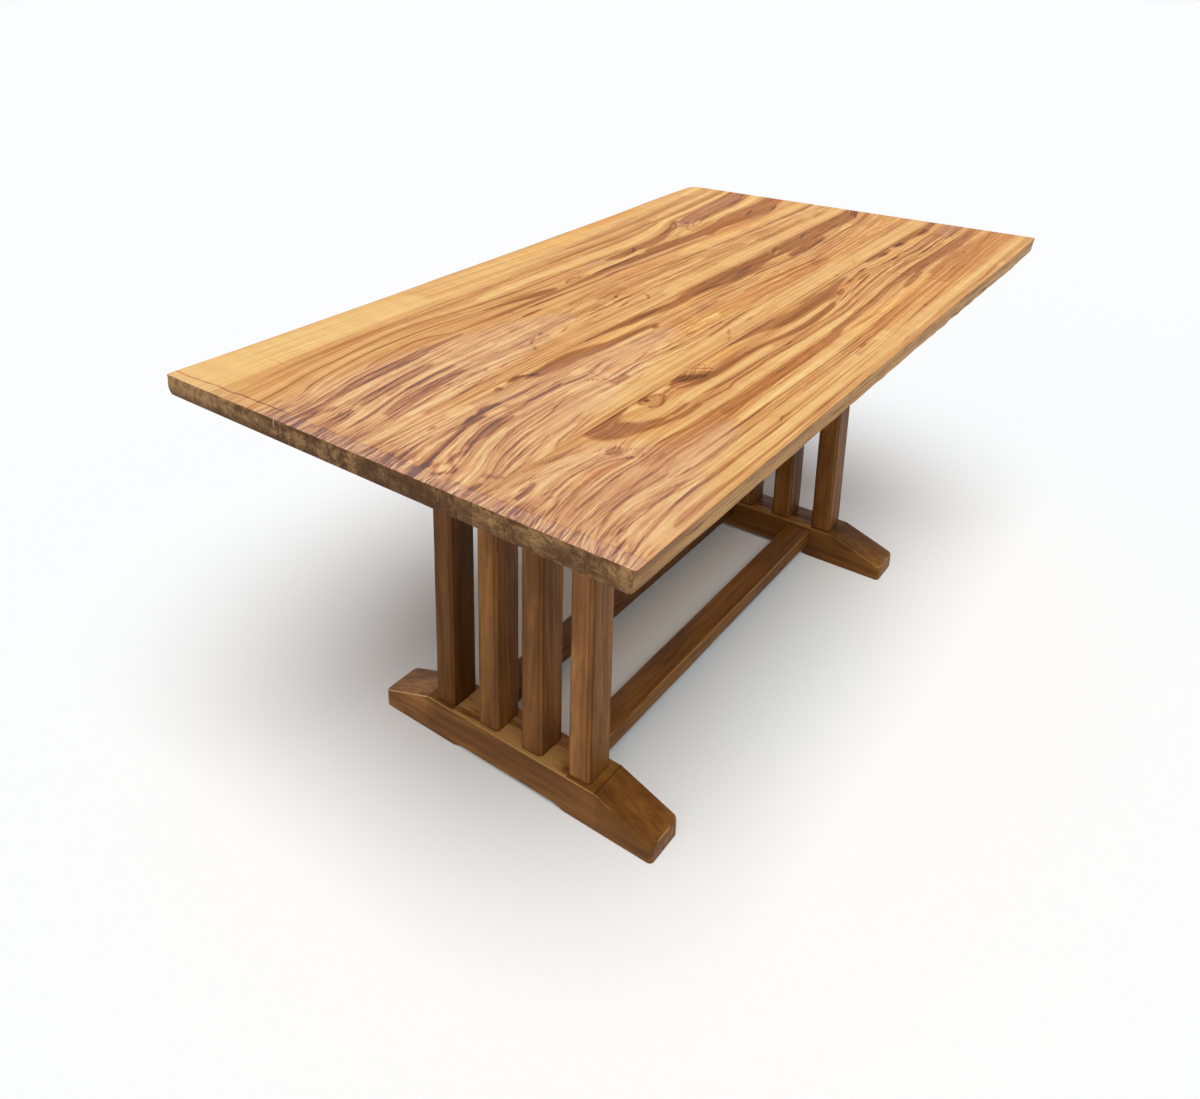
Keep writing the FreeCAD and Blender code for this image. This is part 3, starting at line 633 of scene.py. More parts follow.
@dataclass(frozen=True)
class PlainGrainFinish:
    """Straight-grained wood on the place of the piece, with worn arrises.

    Where it wears, the piece's wear, stain and grime attributes show where the stain is rubbed
    through, how strong it took with painted shade and light mixed in, and where dirt and
    painted shade darken it.
    """

    name: str
    axis: GrainAxis
    light: Colour
    mid: Colour
    dark: Colour
    worn: Colour
    roughness: float = 0.42
    wear: float = 0.0
    contrast: float = 0.8
    # Colour of dirt, and of painted shade along chamfers and at joints.
    dirt_and_shade: Colour = srgb(38, 24, 14)
    drift: Cloud = Cloud((2.6, 5.0, 5.0))
    patina: Cloud = Cloud((4.5, 15.0, 15.0), (5.2, 1.1, 0.0), 3.0, 0.6)
    rub: Cloud = Cloud((6.0, 40.0, 40.0), detail=4.0, roughness=0.65)

    def age(self, desk: NodeDesk, flow: Socket, ground: Socket) -> Socket:
        """Give a ground its patina, wear, uneven stain with painted shade and light, and dirt with painted
        shade.

        Args:
            desk: the material's desk.
            flow: place with the grain along its X.
            ground: the colour of the new wood.
        Returns:
            The aged colour.
        """
        patina = desk.times(desk.spread(desk.patches(flow, self.patina), 0.42, 0.7), 0.55)
        rubbed = desk.times(desk.attribute("wear"), desk.spread(desk.patches(flow, self.rub), 0.40, 0.52))
        # The stain attribute carries the stain's uneven take together with painted shade and light on some
        # pieces and faces.
        tone = desk.plus(1.0, desk.attribute("stain"))
        tone = desk.join(tone, desk.maths("POWER", tone, 1.15), desk.times(tone, tone))
        ground = desk.coats(ground, (patina, self.dark), (desk.times(rubbed, self.wear), self.worn))
        # The grime attribute darkens towards this colour: dirt, and painted shade along chamfers and at
        # joints.
        return desk.mix(desk.attribute("grime"), desk.tint(ground, tone), self.dirt_and_shade)

    def build(self) -> bpy.types.Material:
        """Lay the material out.

        Returns:
            The material.
        """
        desk = FinishDesk(self.name)
        place = desk.split(desk.place())
        along, across, up = (place[index] for index in self.axis.value)
        bend = desk.times(desk.patches(desk.join(along, across, up), self.drift), 0.05)
        flow = desk.join(along, desk.plus(across, bend), desk.weigh(up, (bend, 0.7)))
        grain = desk.group("long_grain", Flow=desk.stretch(flow, (1.4, 1.0, 2.6)))
        ground = desk.coats(
            desk.mix(grain["Bands"], self.light, self.mid),
            (desk.times(grain["Streaks"], self.contrast), self.dark),
            (desk.times(grain["Pores"], 0.5), self.dark))
        if self.wear > 0.0:
            ground = self.age(desk, flow, ground)
        roughness = desk.spread(grain["Streaks"], 0.0, 1.0, self.roughness, self.roughness + 0.1)
        return desk.wood(ground, roughness, 0.12, (0.3, 0.0006), desk.minus(grain["Fibres"], grain["Pores"]))


@dataclass(frozen=True)
class ZincFinish:
    """Zinc plate on the screws and washers, a little dulled."""

    name: str = "zinc_plate"
    bright: Colour = srgb(190, 188, 180)
    dull: Colour = srgb(150, 147, 138)
    spangle_scale: float = 420.0

    def build(self) -> bpy.types.Material:
        """Lay the material out.

        Returns:
            The material.
        """
        desk = FinishDesk(self.name)
        spangle = desk.cloud(desk.place(), self.spangle_scale, 3.0, 0.6)
        desk.fill(desk.shader, {
            "Base Color": desk.mix(desk.spread(spangle, 0.4, 0.62), self.bright, self.dull),
            "Roughness": desk.spread(spangle, 0.3, 0.7, 0.28, 0.5), "Metallic": 1.0})
        return desk.material


STAINED = (srgb(164, 111, 54), srgb(138, 89, 40), srgb(82, 48, 18))


def stained(axis: GrainAxis) -> PlainGrainFinish:
    """Dark stain of the trestles, for one way of the grain."""
    return PlainGrainFinish(f"stained_{axis.name.lower()}", axis, *STAINED, srgb(196, 150, 94),
                            wear=0.8, contrast=0.5)


# ---------------------------------------------------------------- workbench

class Part(Enum):
    """Kind of part of a mesh that is selected."""

    VERT = "VERT"
    EDGE = "EDGE"
    FACE = "FACE"


class Mark(Enum):
    """Attribute of the base pieces; the value is its name."""

    WEAR = "wear"
    # Dirt together with painted shade lines along chamfers and at joints.
    GRIME = "grime"
    # Stain's take together with painted shade and light on posts, feet and side faces.
    STAIN = "stain"


VertTest = Callable[[Vector], bool]
EdgeTest = Callable[[Vector, Vector], bool]


class Bench:
    """Modelling operators on one piece at a time."""

    @staticmethod
    def clear() -> None:
        """Deselect everything."""
        if bpy.context.mode != "OBJECT":
            bpy.ops.object.mode_set(mode="OBJECT")
        bpy.ops.object.select_all(action="DESELECT")

    @staticmethod
    def pick(piece: bpy.types.Object) -> None:
        """Make a piece the only selected one.

        Args:
            piece: the piece.
        """
        Bench.clear()
        piece.select_set(True)
        bpy.context.view_layer.objects.active = piece

    @staticmethod
    def block(name: str, low: Sequence[float], high: Sequence[float]) -> bpy.types.Object:
        """Make a plain block, its place applied to its mesh.

        Args:
            name: its name.
            low, high: its lowest and highest corner.
        Returns:
            The block.
        """
        Bench.clear()
        bpy.ops.mesh.primitive_cube_add(size=1.0, location=[(a + b) / 2 for a, b in zip(low, high)],
                                        scale=[b - a for a, b in zip(low, high)])
        return Bench.name(name)

    @staticmethod
    def name(name: str) -> bpy.types.Object:
        """Name the new piece and apply its place to its mesh.

        Args:
            name: its name.
        Returns:
            The piece.
        """
        piece = bpy.context.object
        piece.name = piece.data.name = name
        bpy.ops.object.transform_apply(location=True, rotation=True, scale=True)
        return piece

    @staticmethod
    def edit(piece: bpy.types.Object, part: Part) -> bmesh.types.BMesh:
        """Open a piece in edit mode with nothing selected.

        Args:
            piece: the piece.
            part: the kind of part that is selected next.
        Returns:
            Its mesh.
        """
        Bench.pick(piece)
        bpy.ops.object.mode_set(mode="EDIT")
        bpy.ops.mesh.select_mode(type=part.value)
        bpy.ops.mesh.select_all(action="DESELECT")
        return bmesh.from_edit_mesh(piece.data)

    @staticmethod
    def select(piece: bpy.types.Object, part: Part, test: Union[VertTest, EdgeTest]) -> None:
        """Open a piece and select the corners or edges that pass a test.

        Args:
            piece: the piece.
            part: corners, tested by place, or edges, by middle and direction.
            test: the test.
        """
        mesh = Bench.edit(piece, part)
        if part is Part.VERT:
            chosen = [vert for vert in mesh.verts if test(vert.co)]
        else:
            ends = [(edge, *(vert.co for vert in edge.verts)) for edge in mesh.edges]
            chosen = [edge for edge, a, b in ends if test((a + b) / 2, (b - a).normalized())]
        if not chosen:
            raise RuntimeError(f"{piece.name}: nothing passes the test")
        for one in chosen:
            one.select_set(True)
        mesh.select_flush_mode()
        bmesh.update_edit_mesh(piece.data)

    @staticmethod
    def shift_verts(piece: bpy.types.Object, test: VertTest, rise: float) -> None:
        """Move the corners that pass a test up or down.

        Args:
            piece: the piece.
            test: picks corners by place.
            rise: how far up.
        """
        Bench.select(piece, Part.VERT, test)
        bpy.ops.transform.translate(value=(0.0, 0.0, rise))
        Bench.clear()

    @staticmethod
    def slice(piece: bpy.types.Object, axis: int, places: Iterable[float]) -> None:
        """Cut new edges right round a piece.

        Args:
            piece: the piece.
            axis: the axis that the cuts are square to.
            places: where they are on it.
        """
        Bench.edit(piece, Part.FACE)
        normal = [float(index == axis) for index in range(3)]
        for place in places:
            bpy.ops.mesh.select_all(action="SELECT")
            bpy.ops.mesh.bisect(plane_co=[place * part for part in normal], plane_no=normal)
        Bench.clear()

    @staticmethod
    def round_edges(piece: bpy.types.Object, test: EdgeTest, width: float, steps: int,
                    strength: float = 0.0, mark: Mark = Mark.WEAR) -> None:
        """Bevel the edges that pass a test, and mark the new rounding as worn, or darkened with dirt and
        painted shade.

        Args:
            piece: the piece.
            test: picks edges by middle and direction.
            width: width of the bevel.
            steps: faces across it.
            strength: how strongly the corners inside the rounding are marked.
            mark: what they are marked with.
        """
        Bench.select(piece, Part.EDGE, test)
        bpy.ops.mesh.bevel(offset=width, offset_type="OFFSET", segments=steps, profile=0.5,
                           clamp_overlap=True)
        if strength > 0.0:
            mesh = bmesh.from_edit_mesh(piece.data)
            layers = mesh.verts.layers.float
            layer = layers.get(mark.value) or layers.new(mark.value)
            for vert in mesh.verts:
                if vert.link_faces and all(face.select for face in vert.link_faces):
                    vert[layer] = strength
            bmesh.update_edit_mesh(piece.data)
        Bench.clear()

    @staticmethod
    def tenon(piece: bpy.types.Object, axis: int, face_at: float, length: float, size: Triple) -> None:
        """Draw a tenon out of an end face.

        Args:
            piece: a straight piece.
            axis: the axis it runs along.
            face_at: where the end face is on that axis.
            length: signed length of the tenon.
            size: shares of the face's own size, on all three axes.
        """
        mesh = Bench.edit(piece, Part.FACE)
        middle = Vector((0.0, 0.0, 0.0))
        for face in mesh.faces:
            place = face.calc_center_bounds()
            if abs(place[axis] - face_at) < 1e-5 and abs(face.normal[axis]) > 0.99:
                face.select_set(True)
                middle = place.copy()
        bmesh.update_edit_mesh(piece.data)
        bpy.ops.mesh.extrude_region_move()
        bpy.ops.transform.resize(value=size, center_override=middle)
        move = [length if index == axis else 0.0 for index in range(3)]
        bpy.ops.mesh.extrude_region_move(TRANSFORM_OT_translate={"value": move})
        Bench.clear()

    @staticmethod
    def hollow(piece: bpy.types.Object, cutters: Sequence[bpy.types.Object]) -> None:
        """Cut each cutter out of a piece, then throw the cutters away.

        Args:
            piece: the piece.
            cutters: blocks of the shape of its mortises.
        """
        for cutter in cutters:
            Bench.pick(piece)
            cut = piece.modifiers.new("mortise", "BOOLEAN")
            cut.operation, cut.solver, cut.object = "DIFFERENCE", "EXACT", cutter
            bpy.ops.object.modifier_apply(modifier=cut.name)
            bpy.data.objects.remove(cutter)

    @staticmethod
    def hand_plane(piece: bpy.types.Object, depth: float, length: float, seed: float) -> None:
        """Make the faces a little uneven, always into the wood, as hand tools leave them.

        Args:
            piece: the piece.
            depth: how deep the unevenness goes.
            length: about how long its waves are.
            seed: sets one piece apart from the next.
        """
        mesh = bmesh.new()
        mesh.from_mesh(piece.data)
        mesh.normal_update()
        for vert in mesh.verts:
            place = vert.co / length + Vector((seed, 2.0 * seed, 3.0 * seed))
            vert.co -= vert.normal * depth * (0.5 + 0.5 * noise.noise(place))
        mesh.to_mesh(piece.data)
        mesh.free()

    @staticmethod
    def places(mesh: bpy.types.Mesh) -> np.ndarray:
        """Read where the corners of a mesh are.

        Args:
            mesh: the mesh.
        Returns:
            One row of x, y and z for each corner.
        """
        points = np.empty(len(mesh.vertices) * 3, np.float32)
        mesh.vertices.foreach_get("co", points)
        return points.reshape(-1, 3)

    @staticmethod
    def paint(mesh: bpy.types.Mesh, mark: Mark, level: np.ndarray) -> None:
        """Write an attribute, and keep what is already there where it is stronger.

        Args:
            mesh: the mesh.
            mark: the attribute.
            level: its value at each corner.
        """
        layer = mesh.attributes.get(mark.value)
        if layer is not None:
            before = np.empty(len(level), np.float32)
            layer.data.foreach_get("value", before)
            level = np.maximum(level, before)
        else:
            layer = mesh.attributes.new(mark.value, "FLOAT", "POINT")
        layer.data.foreach_set("value", np.asarray(level, np.float32))

    @staticmethod
    def grime(piece: bpy.types.Object, axis: int, places: Sequence[float], reach: float,
              above: float = -1.0) -> None:
        """Lay dirt and painted shade that fade away from some levels.

        Args:
            piece: the piece.
            axis: the axis that the levels are on.
            places: the levels.
            reach: how far the darkening spreads.
            above: no darkening lies lower than this height.
        """
        points = Bench.places(piece.data)
        away = np.min([np.abs(points[:, axis] - place) for place in places], axis=0)
        level = np.clip(1.0 - away / reach, 0.0, 1.0)
        Bench.paint(piece.data, Mark.GRIME, np.where(points[:, Z] > above, level, 0.0))

    @staticmethod
    def finish(piece: bpy.types.Object, slot: str, node: str,
               finishes: Sequence[bpy.types.Material], angle: float = 35.0) -> None:
        """Smooth, dress and hang a piece on the table.

        Args:
            piece: the piece.
            slot: not used.
            node: the CAD node it stands for.
            finishes: its materials, in the order of its slots.
            angle: faces that meet at less than this are shaded smooth.
        """
        Bench.pick(piece)
        bpy.ops.object.mode_set(mode="EDIT")
        bpy.ops.mesh.select_all(action="SELECT")
        bpy.ops.mesh.normals_make_consistent(inside=False)
        bpy.ops.object.mode_set(mode="OBJECT")
        bpy.ops.object.shade_smooth_by_angle(angle=math.radians(angle))
        Bench.dress(piece, finishes)
        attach(piece, "root")
        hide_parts(node)
        Bench.clear()

    @staticmethod
    def dress(piece: bpy.types.Object, finishes: Sequence[bpy.types.Material]) -> None:
        """Give a piece its materials.

        Args:
            piece: the piece.
            finishes: its materials, in the order of its slots.
        """
        piece.data.materials.clear()
        for material in finishes:
            piece.data.materials.append(material)
        LOG.info("%s: %d faces, dressed", piece.name, len(piece.data.polygons))


# ---------------------------------------------------------------- figure of the top

def curve_through(points: Sequence[Sequence[float]], where: np.ndarray, column: int = 1) -> np.ndarray:
    """Smooth curve through points that run along X.

    Args:
        points: rows that start with x, in rising order.
        where: the x values asked for.
        column: which number of a row the curve follows.
    Returns:
        The curve's value at each x, level beyond its ends.
    """
    table = np.asarray(points, float)
    x, y = table[:, 0], table[:, column]
    slope = np.gradient(y, x)
    place = np.clip(where, x[0], x[-1])
    index = np.clip(np.searchsorted(x, place) - 1, 0, len(x) - 2)
    run = x[index + 1] - x[index]
    t = (place - x[index]) / run
    return ((2 * t ** 3 - 3 * t ** 2 + 1) * y[index] + (t ** 3 - 2 * t ** 2 + t) * run * slope[index]
            + (3 * t ** 2 - 2 * t ** 3) * y[index + 1] + (t ** 3 - t ** 2) * run * slope[index + 1])


class Tint(Enum):
    """What a stroke of the figure is painted with; the value is its column of the figure."""

    BROWN = 0
    PLUM = 1
    PALE = 2
    FLECK = 3
    BLUSH = 4
    HONEY = 5


BROWN, PLUM, PALE, FLECK, BLUSH, HONEY = Tint


@dataclass(frozen=True)
class Stroke:
    """One streak of the figure: points of x, y and half width, in mm, and how strong it is."""

    tint: Tint
    strength: float
    points: tuple[Triple, ...]
    soft: float = 1.4

    def path(self) -> np.ndarray:
        """Smooth the streak's line.

        Returns:
            Rows of x, y and half width.
        """
        rows = np.asarray(self.points, float)
        if len(rows) > 2:
            steps = np.linspace(0, len(rows) - 1, 5 * (len(rows) - 1) + 1)
            index = np.column_stack([np.arange(len(rows)), rows])
            rows = np.column_stack([curve_through(index, steps, part) for part in (1, 2, 3)])
        return rows

    def cover(self, x: np.ndarray, y: np.ndarray) -> np.ndarray:
        """Find how much of the stroke covers each place.

        Args:
            x, y: the places, in mm.
        Returns:
            The cover at each, from 0 to the stroke's strength.
        """
        rows = self.path()
        cover = np.zeros(len(x))
        for (ax, ay, aw), (bx, by, bw) in zip(rows[:-1], rows[1:]):
            reach = max(aw, bw) * 1.4 + 2.0 * self.soft
            near = np.flatnonzero((x > min(ax, bx) - reach) & (x < max(ax, bx) + reach)
                                  & (y > min(ay, by) - reach) & (y < max(ay, by) + reach))
            dx, dy = bx - ax, by - ay
            share = ((x[near] - ax) * dx + (y[near] - ay) * dy) / (dx * dx + dy * dy + 1e-9)
            share = np.clip(share, 0, 1)
            away = np.hypot(x[near] - ax - share * dx, y[near] - ay - share * dy)
            width = aw + share * (bw - aw)
            edge = self.soft + 0.25 * width
            level = np.clip((width - away) / edge + 0.5, 0, 1)
            cover[near] = np.maximum(cover[near], level * level * (3 - 2 * level))
        return cover * self.strength


def lines(tint: Tint, strength: float, half: float, *rows: Row) -> tuple[Stroke, ...]:
    """Streaks of one width that thin out at both ends.

    Args:
        tint, strength: what they are painted with, and how strongly.
        half: their half width, in mm.
        rows: for each streak x, y, x, y and so on, in mm.
    Returns:
        The streaks.
    """
    made = []
    for row in rows:
        pairs = list(zip(row[::2], row[1::2]))
        if len(pairs) == 2:
            (ax, ay), (bx, by) = pairs
            pairs.insert(1, ((ax + bx) / 2, (ay + by) / 2))
        last = len(pairs) - 1
        made.append(Stroke(tint, strength, tuple(
            (x, y, half * (0.4 if index in (0, last) else 1.0)) for index, (x, y) in enumerate(pairs))))
    return tuple(made)


def bands(tint: Tint, strength: float, soft: float, *rows: Row) -> tuple[Stroke, ...]:
    """Streaks that change width.

    Args:
        tint, strength: what they are painted with, and how strongly.
        soft: how wide their edge fades, in mm.
        rows: for each streak x, y, half width and so on, in mm.
    Returns:
        The streaks.
    """
    return tuple(Stroke(tint, strength, tuple(zip(row[::3], row[1::3], row[2::3])), soft) for row in rows)


@dataclass(frozen=True)
class Knot:
    """Place that the grain flows round: middle, reach along and across, push, and rings."""

    x: float
    y: float
    long: float
    wide: float
    push: float
    rings: float

    def bend(self, x: np.ndarray, y: np.ndarray) -> np.ndarray:
        """Change in the grain level at each place."""
        far = ((x - self.x) / self.long) ** 2 + ((y - self.y) / self.wide) ** 2
        return self.rings * np.exp(-far) - (y - self.y) * self.push * np.exp(-far / 2)


@dataclass(frozen=True)
class BoardFigure:
    """Grain lines, knots and streaks of one board, all in mm."""

    guides: tuple[Row, ...]
    knots: tuple[Knot, ...]
    strokes: tuple[Stroke, ...]

    def level(self, x: np.ndarray, y: np.ndarray) -> np.ndarray:
        """Find the grain level, which is the same all along a grain line.

        Args:
            x, y: the places asked for.
        Returns:
            The level at each.
        """
        guides = [np.reshape(guide, (-1, 2)) for guide in self.guides]
        paths = [curve_through(guide, x) for guide in guides]
        levels = [float(np.mean(guide[:, 1])) for guide in guides]
        result = levels[0] + (y - paths[0])
        for below, above, low, high in zip(paths[:-1], paths[1:], levels[:-1], levels[1:]):
            share = (y - below) / np.maximum(above - below, 1.0)
            result = np.where(share > 0, low + share * (high - low), result)
        result = np.where(y > paths[-1], levels[-1] + (y - paths[-1]), result)
        return result + sum((knot.bend(x, y) for knot in self.knots), np.zeros(len(x)))

    def lay(self, mesh: bpy.types.Mesh, plan: np.ndarray, depth: np.ndarray, seed: float) -> None:
        """Write the flow, figure and tone attributes.

        Args:
            mesh: the board's mesh.
            plan: x and y of each vertex, in mm.
            depth: how far each vertex is below the face, in mm.
            seed: sets one board's grain apart from the next one's.
        """
        x, y = plan[:, 0], plan[:, 1]
        flow = np.column_stack([x, self.level(x, y), depth]) * MM + np.array([seed, 0.0, 0.0])
        paint = np.zeros((len(x), len(Tint)))
        for stroke in self.strokes:
            column = stroke.tint.value
            paint[:, column] = np.maximum(paint[:, column], stroke.cover(x, y))
        for name, values in (("flow", flow), ("figure", paint[:, :3]), ("tone", paint[:, 3:])):
            layer = mesh.attributes.new(name, "FLOAT_VECTOR", "POINT")
            layer.data.foreach_set("vector", np.ascontiguousarray(values, np.float32).ravel())


LEFT_GUIDES = (
    (-855, 0, 0, 0, 855, 0),
    (-860, 30, -800, 40, -700, 52, -600, 60, -400, 58, 0, 50, 400, 48, 860, 46),
    (-860, 60, -780, 70, -700, 87, -650, 98, -550, 104, -430, 106, -200, 112, 0, 118, 170, 112, 400, 102,
     600, 98, 860, 94),
    (-860, 104, -780, 110, -700, 128, -600, 140, -500, 148, -350, 152, -100, 150, 0, 150, 250, 140, 500, 125,
     860, 115),
    (-860, 150, -740, 157, -700, 164, -600, 174, -500, 180, -400, 176, -245, 180, -100, 174, 0, 171, 100, 168,
     300, 161, 450, 153, 600, 145, 760, 137, 860, 132),
    (-860, 195, -790, 202, -720, 228, -650, 243, -600, 250, -500, 253, -430, 250, -350, 240, -270, 231,
     -200, 221, -100, 214, 0, 212, 150, 213, 300, 215, 400, 224, 500, 235, 600, 236, 700, 242, 860, 262),
    (-860, 232, -780, 245, -700, 264, -600, 276, -500, 286, -430, 283, -300, 263, -200, 256, 0, 256, 200, 249,
     300, 250, 400, 260, 450, 277, 500, 288, 600, 303, 700, 310, 860, 330),
    (-860, 298, -700, 309, -500, 315, -250, 320, 0, 318, 250, 316, 400, 326, 600, 338, 860, 358),
    (-860, 378, -400, 385, 0, 375, 250, 372, 400, 378, 500, 388, 700, 400, 860, 412),
    (-855, 440, 0, 437, 855, 449),
)
LEFT_KNOTS = (
    Knot(462, 250, 44, 30, 0.4, 14),
    Knot(-52, 210, 26, 9, 0.6, 6),
    Knot(-45, 45, 18, 8, 0.4, 4),
)
